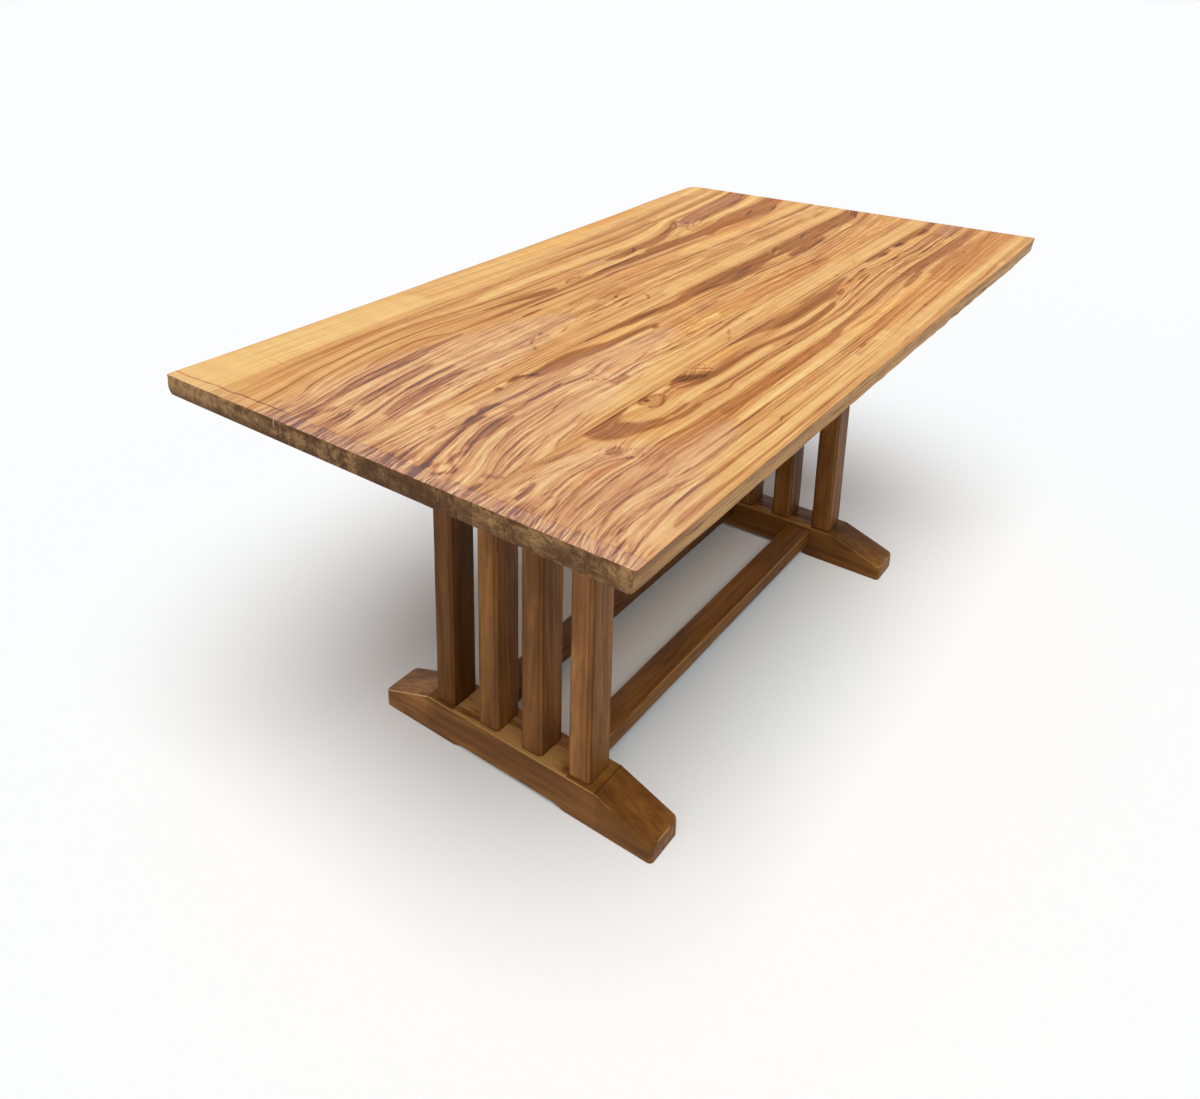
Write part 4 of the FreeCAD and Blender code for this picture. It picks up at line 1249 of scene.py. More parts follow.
LEFT_STROKES = (
    *bands(PALE, 0.9, 30, (-880, 385, 66, -600, 382, 55, -350, 386, 40)),
    *bands(PALE, 0.55, 26, (-500, 385, 52, -100, 388, 46, 150, 392, 36, 400, 404, 22, 600, 415, 26,
     860, 432, 24)),
    *bands(PALE, 1.0, 12, (-790, 352, 16, -740, 378, 34, -690, 352, 12), (740, 408, 10, 790, 412, 18,
     850, 425, 14)),
    *bands(PALE, 0.85, 6, (-270, 285, 4, -200, 287, 9, -100, 286, 10, 0, 278, 12, 100, 278, 13, 200, 275, 15,
     260, 275, 15, 350, 283, 13, 430, 298, 9, 500, 311, 7, 600, 313, 7, 700, 322, 7, 800, 330, 7,
     860, 338, 7), (500, 346, 3, 600, 356, 5, 700, 362, 5, 800, 372, 6, 860, 381, 6)),
    *bands(PALE, 0.75, 5, (0, 212, 8, 50, 213, 10, 100, 212, 9, 150, 213, 6, 240, 217, 2), (515, 230, 4,
     560, 223, 10, 600, 226, 12, 650, 231, 12, 700, 231, 10, 750, 237, 12, 800, 245, 12, 860, 255, 11),
     (310, 206, 3, 350, 207, 3), (380, 212, 5, 420, 217, 9)),
    *bands(PALE, 0.65, 10, (240, 132, 8, 330, 132, 18, 500, 124, 16, 700, 118, 16, 860, 122, 8), (0, 22, 14,
     80, 25, 20, 150, 24, 14, 300, 28, 12, 480, 20, 10, 720, 18, 14, 860, 14, 12), (-330, 66, 6, -280, 68, 13,
     -220, 66, 8), (-200, 7, 3, -100, 7, 5, 0, 7, 5)),
    *bands(PALE, 0.9, 3, (-825, 74, 5, -780, 83, 7, -740, 91, 7, -700, 99, 5), (-650, 112, 4, -560, 115, 5,
     -430, 118, 5), (-825, 12, 5, -770, 14, 8, -710, 16, 5), (-720, 31, 5, -680, 34, 5)),
    *bands(HONEY, 0.7, 12, (0, 400, 16, 150, 402, 20, 300, 420, 16, 430, 425, 14, 540, 425, 12), (0, 160, 4,
     200, 150, 8, 420, 140, 10, 700, 128, 10, 860, 124, 8), (430, 178, 14, 600, 180, 22, 720, 185, 24,
     860, 190, 22)),
    *bands(BLUSH, 0.85, 30, (-900, 80, 130, -700, 110, 110, -420, 110, 70, -260, 100, 30)),
    *bands(BLUSH, 0.8, 3, (0, 180, 3, 50, 182, 4, 100, 179, 4, 150, 176, 4, 240, 173, 3), (20, 240, 8,
     60, 240, 10, 110, 240, 6), (430, 270, 5, 470, 262, 16, 500, 250, 18)),
    *bands(BLUSH, 0.4, 10, (500, 268, 20, 600, 275, 24, 760, 290, 24, 870, 305, 22)),
    *lines(PLUM, 0.35, 1.6, (-856, 0, -300, 0.4, 300, 0, 856, 0)),
    *lines(BROWN, 0.6, 2.0, (-800, 302, -750, 305, -700, 310, -600, 311, -500, 316, -430, 314), (-350, 325,
     -250, 320, -150, 319, -100, 322, 0, 318), (-440, 313, -350, 308, -200, 303, -150, 299, -50, 301, 0, 303,
     50, 298, 100, 296), (-430, 93, -520, 88, -600, 85, -700, 76)),
    *bands(BROWN, 0.6, 4, (0, 318, 3, 120, 320, 4, 200, 318, 5, 250, 316, 5, 350, 322, 5, 440, 330, 4),
     (100, 296, 3, 200, 295, 4, 300, 297, 4, 400, 308, 4, 440, 315, 4), (440, 322, 4, 520, 325, 6,
     600, 330, 8, 700, 338, 8, 800, 345, 8, 860, 351, 7), (120, 356, 3, 170, 355, 5, 250, 355, 6, 350, 360, 7,
     430, 362, 8, 530, 374, 9, 600, 380, 9, 690, 391, 9, 780, 399, 7, 860, 408, 5)),
    *lines(BROWN, 0.8, 2.6, (-830, 237, -780, 245, -750, 253, -700, 264, -650, 268, -600, 276, -550, 282,
     -500, 286, -430, 283, -350, 270, -300, 263, -200, 256, -100, 256, 0, 257, 50, 254, 100, 252, 200, 250)),
    *bands(BROWN, 0.4, 8, (-600, 272, 3, -550, 274, 7, -500, 277, 9, -430, 273, 8, -350, 263, 6),
     (-620, 206, 4, -580, 208, 7, -500, 212, 9, -440, 200, 4), (-75, 208, 3, -40, 209, 5), (-120, 106, 8,
     -80, 108, 11, -40, 106, 8), (450, 50, 10, 560, 54, 14, 700, 48, 10), (730, 36, 6, 800, 36, 5),
     (250, 80, 10, 330, 72, 14, 400, 66, 10)),
    *lines(PLUM, 0.85, 2.0, (-760, 213, -745, 222, -720, 229, -700, 234, -650, 243, -600, 250, -550, 253,
     -500, 253, -430, 250, -400, 246, -350, 240, -290, 234)),
    *bands(BROWN, 0.85, 3, (-828, 142, 4, -795, 148, 7, -765, 156, 7, -738, 161, 8), (-832, 94, 6,
     -800, 98, 7, -768, 106, 6), (-655, 97, 3, -600, 99, 6, -545, 101, 3)),
    *bands(BROWN, 1.0, 2, (-310, 236, 2, -270, 231, 5, -230, 226, 8, -200, 220, 12, -170, 214, 13,
     -150, 210, 12, -130, 208, 7, -120, 207, 2), (-430, 202, 2, -350, 198, 4, -300, 197, 6, -200, 195, 6,
     -100, 193, 5, 0, 195, 7, 50, 198, 8, 100, 195, 9, 150, 193, 9, 200, 191, 10, 250, 190, 13, 330, 187, 14,
     400, 184, 14, 440, 184, 14), (-740, 160, 4, -700, 168, 8, -650, 173, 11, -600, 175, 12, -550, 177, 9,
     -500, 185, 6, -430, 186, 3), (-860, 153, 4, -800, 154, 5, -750, 158, 4), (-740, 110, 5, -700, 119, 9,
     -650, 126, 9, -600, 131, 9, -560, 135, 5), (-740, 58, 6, -700, 66, 10, -650, 72, 11, -600, 76, 11,
     -550, 78, 5), (-290, 157, 3, -265, 157, 5, -240, 157, 3), (-785, 132, 5, -772, 133, 5)),
    *lines(BROWN, 0.9, 3.2, (-85, 208, -70, 216, -50, 220, -35, 216, -32, 208), (-640, 205, -620, 212,
     -600, 216, -550, 222, -510, 226, -480, 222, -460, 215, -430, 203)),
    *lines(PLUM, 0.85, 2.3, (-737, 168, -700, 178, -650, 184, -600, 187, -550, 190, -520, 196, -490, 196),
     (-830, 105, -780, 108, -760, 112, -740, 120, -700, 128, -650, 135, -600, 140, -500, 148), (-830, 64,
     -780, 70, -750, 75, -700, 87, -650, 98, -600, 102, -550, 104, -430, 106), (-245, 180, -200, 178,
     -150, 176, -100, 173, -50, 171, 0, 171, 50, 173, 100, 168)),
    *bands(PLUM, 0.6, 2, (0, 172, 4, 50, 173, 5, 100, 168, 5, 130, 165, 4, 200, 163, 4, 300, 161, 4,
     400, 155, 3, 500, 151, 4, 600, 145, 4, 660, 143, 4, 760, 137, 3)),
    *lines(PLUM, 0.75, 1.8, (-740, 155, -700, 162, -650, 168, -600, 172, -550, 175), (-825, 210, -800, 218),
     (-790, 196, -755, 203), (-850, 195, -830, 200), (-855, 185, -805, 190), (-830, 170, -750, 182),
     (-700, 76, -650, 83, -600, 85), (-860, 30, -830, 38, -800, 46), (-780, 42, -740, 46, -700, 53, -650, 58,
     -560, 63), (-830, 22, -800, 26, -760, 30, -740, 36, -700, 43, -650, 47, -600, 52), (-830, 3, -780, 4,
     -750, 8, -720, 12, -690, 15), (-640, 20, -600, 22, -570, 27, -540, 33), (-690, 1, -650, 2, -600, 3,
     -550, 8), (-505, 38, -480, 43), (-295, 190, -280, 186), (-400, 168, -350, 167, -320, 163), (-180, 68,
     -170, 71)),
    *bands(PLUM, 0.75, 4, (-857, 88, 8, -836, 88, 8), (-857, 132, 6, -836, 133, 6), (-857, 163, 3,
     -834, 170, 3)),
    *lines(PLUM, 0.85, 2.8, (-532, 45, -520, 55), (-408, 42, -395, 50), (-392, 62, -380, 70, -360, 77),
     (-350, 76, -335, 82), (-310, 55, -295, 60, -285, 64), (-140, 48, -115, 51, -100, 54), (-67, 29, -55, 35,
     -45, 45, -40, 58), (-97, 84, -87, 88)),
    *lines(BROWN, 0.6, 2.4, (-440, 152, -350, 155), (-400, 125, -360, 128, -320, 138), (-370, 138, -330, 140),
     (-300, 122, -265, 120), (-200, 135, -150, 133, -60, 142), (-105, 54, -50, 57), (0, 127, 40, 128),
     (0, 140, 45, 141), (60, 72, 100, 71), (120, 90, 150, 88, 200, 84), (205, 40, 235, 37), (250, 92, 300, 90,
     330, 88), (500, 119, 550, 118), (600, 78, 650, 76, 730, 78)),
    *bands(BROWN, 0.85, 2, (40, 123, 1.5, 120, 121, 2.5, 170, 116, 3.5, 220, 111, 4, 250, 109, 3.5,
     310, 107, 2), (335, 107, 2, 400, 103, 3.5, 480, 99, 3, 560, 98, 2), (580, 99, 2, 650, 95, 3.5,
     700, 93, 4.5, 780, 90, 4.5, 820, 92, 4, 860, 94, 4)),
    *bands(BROWN, 0.95, 5, (100, 236, 5, 160, 233, 9, 210, 236, 11, 260, 236, 11, 320, 240, 10, 370, 248, 8,
     420, 260, 8, 450, 274, 9, 480, 284, 8), (490, 262, 16, 520, 266, 22, 560, 271, 27, 650, 277, 31,
     750, 284, 33, 860, 302, 30), (430, 178, 20, 500, 186, 18, 560, 184, 26, 650, 184, 34, 720, 182, 36,
     790, 190, 28, 860, 200, 26), (215, 205, 6, 250, 203, 10, 300, 200, 10, 350, 200, 6)),
    *lines(PLUM, 0.75, 3.0, (110, 228, 140, 221, 180, 224, 205, 230, 216, 244), (220, 224, 250, 219, 300, 224,
     330, 229, 370, 237), (0, 202, 50, 203, 100, 202, 180, 203), (508, 230, 530, 240, 550, 245, 585, 249),
     (545, 206, 580, 213, 620, 219, 655, 222), (690, 259, 730, 262, 770, 266, 800, 268), (340, 252, 370, 254,
     400, 259, 430, 268), (720, 150, 760, 157, 790, 166), (640, 176, 700, 190), (820, 283, 850, 288),
     (428, 220, 445, 233, 470, 252, 495, 266), (440, 240, 460, 254, 480, 268), (455, 234, 475, 249, 500, 262),
     (470, 230, 490, 244, 510, 252), (436, 256, 456, 270, 470, 284)),
    *lines(PALE, 0.9, 1.6, (240, 211, 280, 212, 340, 218, 370, 226, 400, 236, 430, 248), (446, 246, 470, 262,
     486, 276), (452, 262, 480, 280), (440, 228, 462, 244, 486, 260), (600, 285, 700, 292, 800, 300),
     (560, 262, 640, 268)),
    *bands(FLECK, 0.85, 30, (-860, 110, 100, -650, 110, 95, -450, 90, 70), (-450, 90, 56, -100, 85, 42)),
    *bands(FLECK, 0.5, 30, (-100, 90, 50, 400, 90, 50, 860, 70, 40)),
)
LEFT_FIGURE = BoardFigure(LEFT_GUIDES, LEFT_KNOTS, LEFT_STROKES)

MIDDLE_GUIDES = (
    (-855, -202, 0, -202, 855, -202),
    (-860, -190, -790, -180, -750, -165, -700, -150, -650, -142, -600, -138, -430, -140, -200, -150, 0, -150,
     300, -155, 600, -150, 860, -148),
    (-860, -130, -800, -118, -770, -108, -720, -88, -680, -78, -600, -80, -500, -78, -430, -86, -380, -78,
     -300, -83, -100, -85, 0, -88, 150, -95, 300, -103, 400, -110, 500, -106, 600, -104, 750, -99, 860, -88),
    (-860, -62, -780, -48, -700, -46, -640, -42, -550, -45, -430, -40, -350, -48, -200, -55, 0, -55, 120, -60,
     240, -60, 330, -70, 430, -71, 550, -65, 680, -54, 780, -50, 860, -34),
    (-855, 0, 0, 0, 855, 0),
)
MIDDLE_KNOTS = (
    Knot(-571, -13, 14, 8, 0.7, 5),
)
MIDDLE_STROKES = (
    *bands(PALE, 0.5, 12, (-560, -165, 8, -500, -168, 20, -430, -170, 24, -300, -178, 18, -200, -178, 18,
     -100, -177, 14, 0, -172, 18, 40, -170, 22, 200, -172, 16, 430, -180, 14, 600, -180, 18, 860, -178, 18)),
    *bands(PALE, 0.8, 4, (-650, -60, 4, -620, -62, 4), (-600, -60, 5, -570, -62, 6), (-450, -68, 7,
     -430, -70, 9), (-720, -197, 3, -690, -192, 5, -650, -180, 4, -600, -175, 4), (-820, -116, 3,
     -802, -118, 7, -790, -122, 2), (-280, -118, 5, -250, -116, 6), (-90, -114, 6, -60, -114, 6),
     (650, -63, 3, 700, -63, 4, 720, -62, 3), (445, -188, 6, 500, -188, 7)),
    *bands(HONEY, 0.85, 4, (-330, -22, 4, -280, -22, 7, -220, -27, 6, -190, -30, 3), (330, -42, 4,
     370, -44, 5), (560, -74, 4, 600, -72, 4), (-100, -40, 3, 0, -44, 4, 100, -50, 3)),
    *bands(HONEY, 0.5, 14, (-400, -110, 14, 0, -115, 20, 400, -125, 24, 860, -120, 20)),
    *bands(BLUSH, 0.85, 30, (-900, -100, 120, -600, -100, 90, -400, -90, 60, -200, -90, 20)),
    *bands(BROWN, 1.0, 3, (-510, -22, 4, -485, -25, 11, -455, -26, 15, -430, -25, 17, -390, -26, 17,
     -350, -34, 16, -320, -40, 13, -300, -43, 10, -250, -46, 8, -200, -50, 7, -170, -55, 4), (-320, -3, 2,
     -280, -5, 3, -230, -8, 6, -200, -12, 9, -150, -14, 11, -100, -20, 11, -50, -24, 10, 0, -20, 13,
     60, -20, 16, 100, -22, 19, 150, -25, 23, 250, -26, 22, 330, -22, 17, 400, -26, 20, 470, -28, 25,
     560, -26, 23, 650, -24, 23, 760, -26, 22, 830, -18, 17, 870, -12, 12), (380, -60, 8, 450, -58, 10,
     520, -56, 8, 570, -54, 4), (-740, -98, 4, -700, -95, 7, -650, -88, 7, -635, -90, 4), (-440, -137, 7,
     -408, -138, 6)),
    *lines(PLUM, 0.85, 2.6, (-860, -95, -830, -95, -800, -85, -760, -74, -740, -70, -700, -58, -680, -52,
     -664, -58), (-770, -108, -750, -98, -720, -88, -680, -77, -650, -80, -600, -80), (-835, -115, -815, -107,
     -798, -104), (-750, -138, -700, -125, -650, -115, -560, -107), (-600, -82, -580, -76, -550, -77,
     -500, -76), (-490, -80, -460, -87, -430, -88), (-460, -100, -448, -110, -438, -122)),
    *bands(PLUM, 0.95, 3, (-700, -58, 3, -686, -54, 7, -672, -52, 9, -662, -56, 5), (-660, -50, 5,
     -640, -43, 9, -612, -46, 5), (-858, -97, 6, -838, -95, 6, -820, -90, 4), (-574, -13, 6, -568, -13, 6),
     (-544, -8, 2, -528, -8, 5, -516, -8, 5, -504, -13, 3, -490, -24, 3), (-738, -25, 4, -730, -25, 4),
     (-192, -60, 5, -184, -60, 5), (-830, -118, 3, -812, -132, 4, -800, -125, 4, -790, -110, 4, -775, -104, 4,
     -757, -108, 3), (-828, -180, 5, -816, -180, 5)),
    *bands(BROWN, 0.5, 3, (-840, -95, 4, -810, -88, 5, -780, -79, 5, -745, -70, 4, -715, -60, 4, -690, -53, 6,
     -672, -51, 8, -662, -58, 4), (-660, -50, 4, -640, -43, 6, -615, -46, 3), (-802, -111, 2, -785, -107, 5,
     -765, -109, 6, -748, -104, 6, -725, -95, 6, -700, -88, 6, -670, -82, 6, -640, -80, 5, -605, -80, 4),
     (-602, -80, 3, -580, -77, 4, -550, -77, 4, -515, -76, 3.5, -495, -75, 2), (-575, -13, 5, -567, -13, 5),
     (-540, -8, 2, -528, -7, 5, -516, -7, 5, -506, -11, 3)),
    *bands(PLUM, 0.5, 3, (-835, -94, 6, -810, -88, 6, -780, -79, 5, -745, -70, 5, -715, -60, 5, -695, -54, 6),
     (-802, -111, 2, -785, -107, 4, -765, -109, 5, -748, -104, 5, -725, -96, 4, -700, -88, 4, -650, -80, 3,
     -605, -80, 3), (-602, -80, 3, -580, -77, 3.5, -550, -77, 3.5, -515, -76, 3, -495, -75, 2)),
    *bands(PALE, 0.8, 3, (-828, -150, 5, -790, -138, 6, -750, -124, 5, -710, -112, 4, -670, -106, 2),
     (-694, -18, 5, -670, -17, 11, -646, -20, 6), (-805, -97, 4, -760, -87, 5, -720, -76, 5, -685, -67, 3)),
    *bands(PLUM, 0.7, 4, (-858, -132, 6, -838, -132, 6), (-853, -158, 6, -832, -158, 6), (-793, -172, 5,
     -783, -192, 4)),
    *lines(PLUM, 0.7, 1.7, (-610, -48, -550, -50, -430, -52), (-815, -6, -785, -12), (-860, -62, -830, -55,
     -780, -45), (-845, -34, -820, -28), (-790, -46, -750, -40), (-780, -60, -700, -46), (-650, -133,
     -600, -128, -550, -115, -500, -108), (-790, -180, -750, -160, -700, -148, -650, -140), (-680, -200,
     -650, -187, -600, -180, -550, -172), (-640, -192, -600, -187, -550, -178), (-640, -170, -600, -168,
     -560, -160), (-790, -188, -740, -176, -690, -165, -640, -156), (-785, -196, -740, -190, -700, -180,
     -650, -166)),
    *lines(BROWN, 0.85, 2.4, (-430, -88, -400, -80, -350, -80, -300, -83), (-280, -82, -200, -85, -100, -85),
     (-90, -82, -50, -80, 0, -79, 12, -77), (-300, -65, -260, -68, -210, -70), (-180, -56, -100, -53, 0, -55,
     60, -56, 120, -61), (0, -65, 60, -70, 100, -74, 190, -78), (-350, -118, -330, -116, -300, -112),
     (-440, -156, -410, -158, -380, -154), (-175, -158, -150, -156, -100, -153, -60, -150), (-165, -190,
     -150, -187), (-60, -170, -30, -170), (290, -194, 312, -192)),
    *lines(PLUM, 0.7, 3.0, (-142, -180, -130, -172, -115, -167)),
    *lines(PLUM, 0.4, 3.0, (385, -13, 410, -8, 432, -3), (515, -22, 550, -11, 590, -5), (715, -8, 740, -6,
     765, -6), (210, -5, 228, -6), (250, -8, 290, -6), (0, -4, 50, -4, 100, -5), (540, -41, 590, -39),
     (0, -26, 60, -28, 110, -35), (180, -30, 260, -26), (640, -38, 700, -36), (-190, -10, -150, -12,
     -100, -16)),
    *bands(PLUM, 0.75, 2, (205, -58, 2, 240, -60, 3.5, 300, -68, 2.5, 370, -72, 2.5, 430, -71, 3,
     500, -68, 3.5, 550, -65, 4, 600, -60, 2.5, 680, -54, 1)),
    *bands(BROWN, 0.8, 2, (90, -92, 1.5, 160, -96, 3, 200, -98, 4, 250, -101, 2.5, 285, -103, 4, 320, -108, 2,
     365, -112, 4, 430, -108, 3, 540, -105, 2.5, 610, -104, 2), (640, -68, 1.5, 690, -72, 4.5, 730, -72, 3,
     790, -65, 4, 860, -53, 3), (700, -102, 1.5, 800, -95, 3, 860, -88, 3)),
    *lines(PLUM, 0.45, 1.6, (-856, -1, -300, -1, 300, -1, 856, -1)),
    *lines(PLUM, 0.6, 1.8, (770, -50, 800, -42, 830, -33, 860, -22), (780, -44, 830, -27, 862, -12),
     (800, -30, 860, -6)),
    *lines(PALE, 0.9, 2.2, (362, -31, 380, -26, 408, -19), (362, -18, 388, -8), (828, -16, 850, -6)),
    *lines(BROWN, 0.45, 2.2, (-330, -96, -200, -97), (-130, -140, -110, -138), (-80, -138, -60, -140),
     (-260, -158, -200, -157), (0, -156, 30, -155, 80, -153), (0, -168, 30, -166, 70, -168), (0, -180,
     40, -178, 70, -178), (30, -138, 60, -136, 90, -135), (450, -80, 530, -80, 620, -77), (600, -130,
     640, -130), (700, -128, 740, -128), (650, -160, 750, -158, 850, -152), (405, -190, 430, -178), (240, -85,
     262, -86), (800, -106, 860, -103)),
    *bands(BROWN, 0.45, 8, (345, -126, 8, 400, -128, 9), (-100, -150, 3, -20, -150, 4)),
    *bands(FLECK, 0.85, 25, (-860, -100, 95, -740, -100, 90, -650, -80, 55, -450, -80, 45), (-450, -100, 60,
     -100, -120, 30)),
    *bands(FLECK, 0.5, 25, (-100, -100, 60, 400, -100, 60, 860, -100, 50)),
)
MIDDLE_FIGURE = BoardFigure(MIDDLE_GUIDES, MIDDLE_KNOTS, MIDDLE_STROKES)

RIGHT_GUIDES = (
    (-855, -443, 0, -438, 855, -440),
    (-860, -418, -800, -408, -740, -402, -650, -397, -430, -402, 0, -402, 225, -395, 400, -391, 860, -385),
    (-860, -385, -830, -372, -760, -363, -700, -366, -620, -376, -430, -374, -200, -375, 0, -377, 200, -370,
     400, -366, 860, -352),
    (-860, -345, -800, -335, -700, -327, -600, -322, -430, -331, -200, -332, 0, -331, 120, -334, 300, -326,
     430, -320, 860, -318),
    (-860, -300, -780, -280, -700, -270, -620, -280, -560, -276, -470, -281, -300, -283, 0, -289, 150, -280,
     240, -270, 330, -263, 430, -261, 500, -265, 600, -276, 700, -275, 860, -272),
    (-860, -250, -800, -243, -740, -236, -700, -240, -640, -245, -590, -240, -500, -245, -400, -236,
     -300, -244, -200, -244, -100, -254, 0, -258, 100, -256, 180, -248, 250, -234, 350, -223, 430, -236,
     500, -242, 700, -243, 860, -240),
    (-855, -202, 0, -202, 855, -202),
)
RIGHT_KNOTS = (
    Knot(-465, -220, 26, 14, 0.6, 12),
    Knot(-358, -214, 40, 18, 0.5, 14),
    Knot(-632, -262, 18, 13, 0.5, 7),
    Knot(-585, -222, 36, 20, 0.4, 10),
)
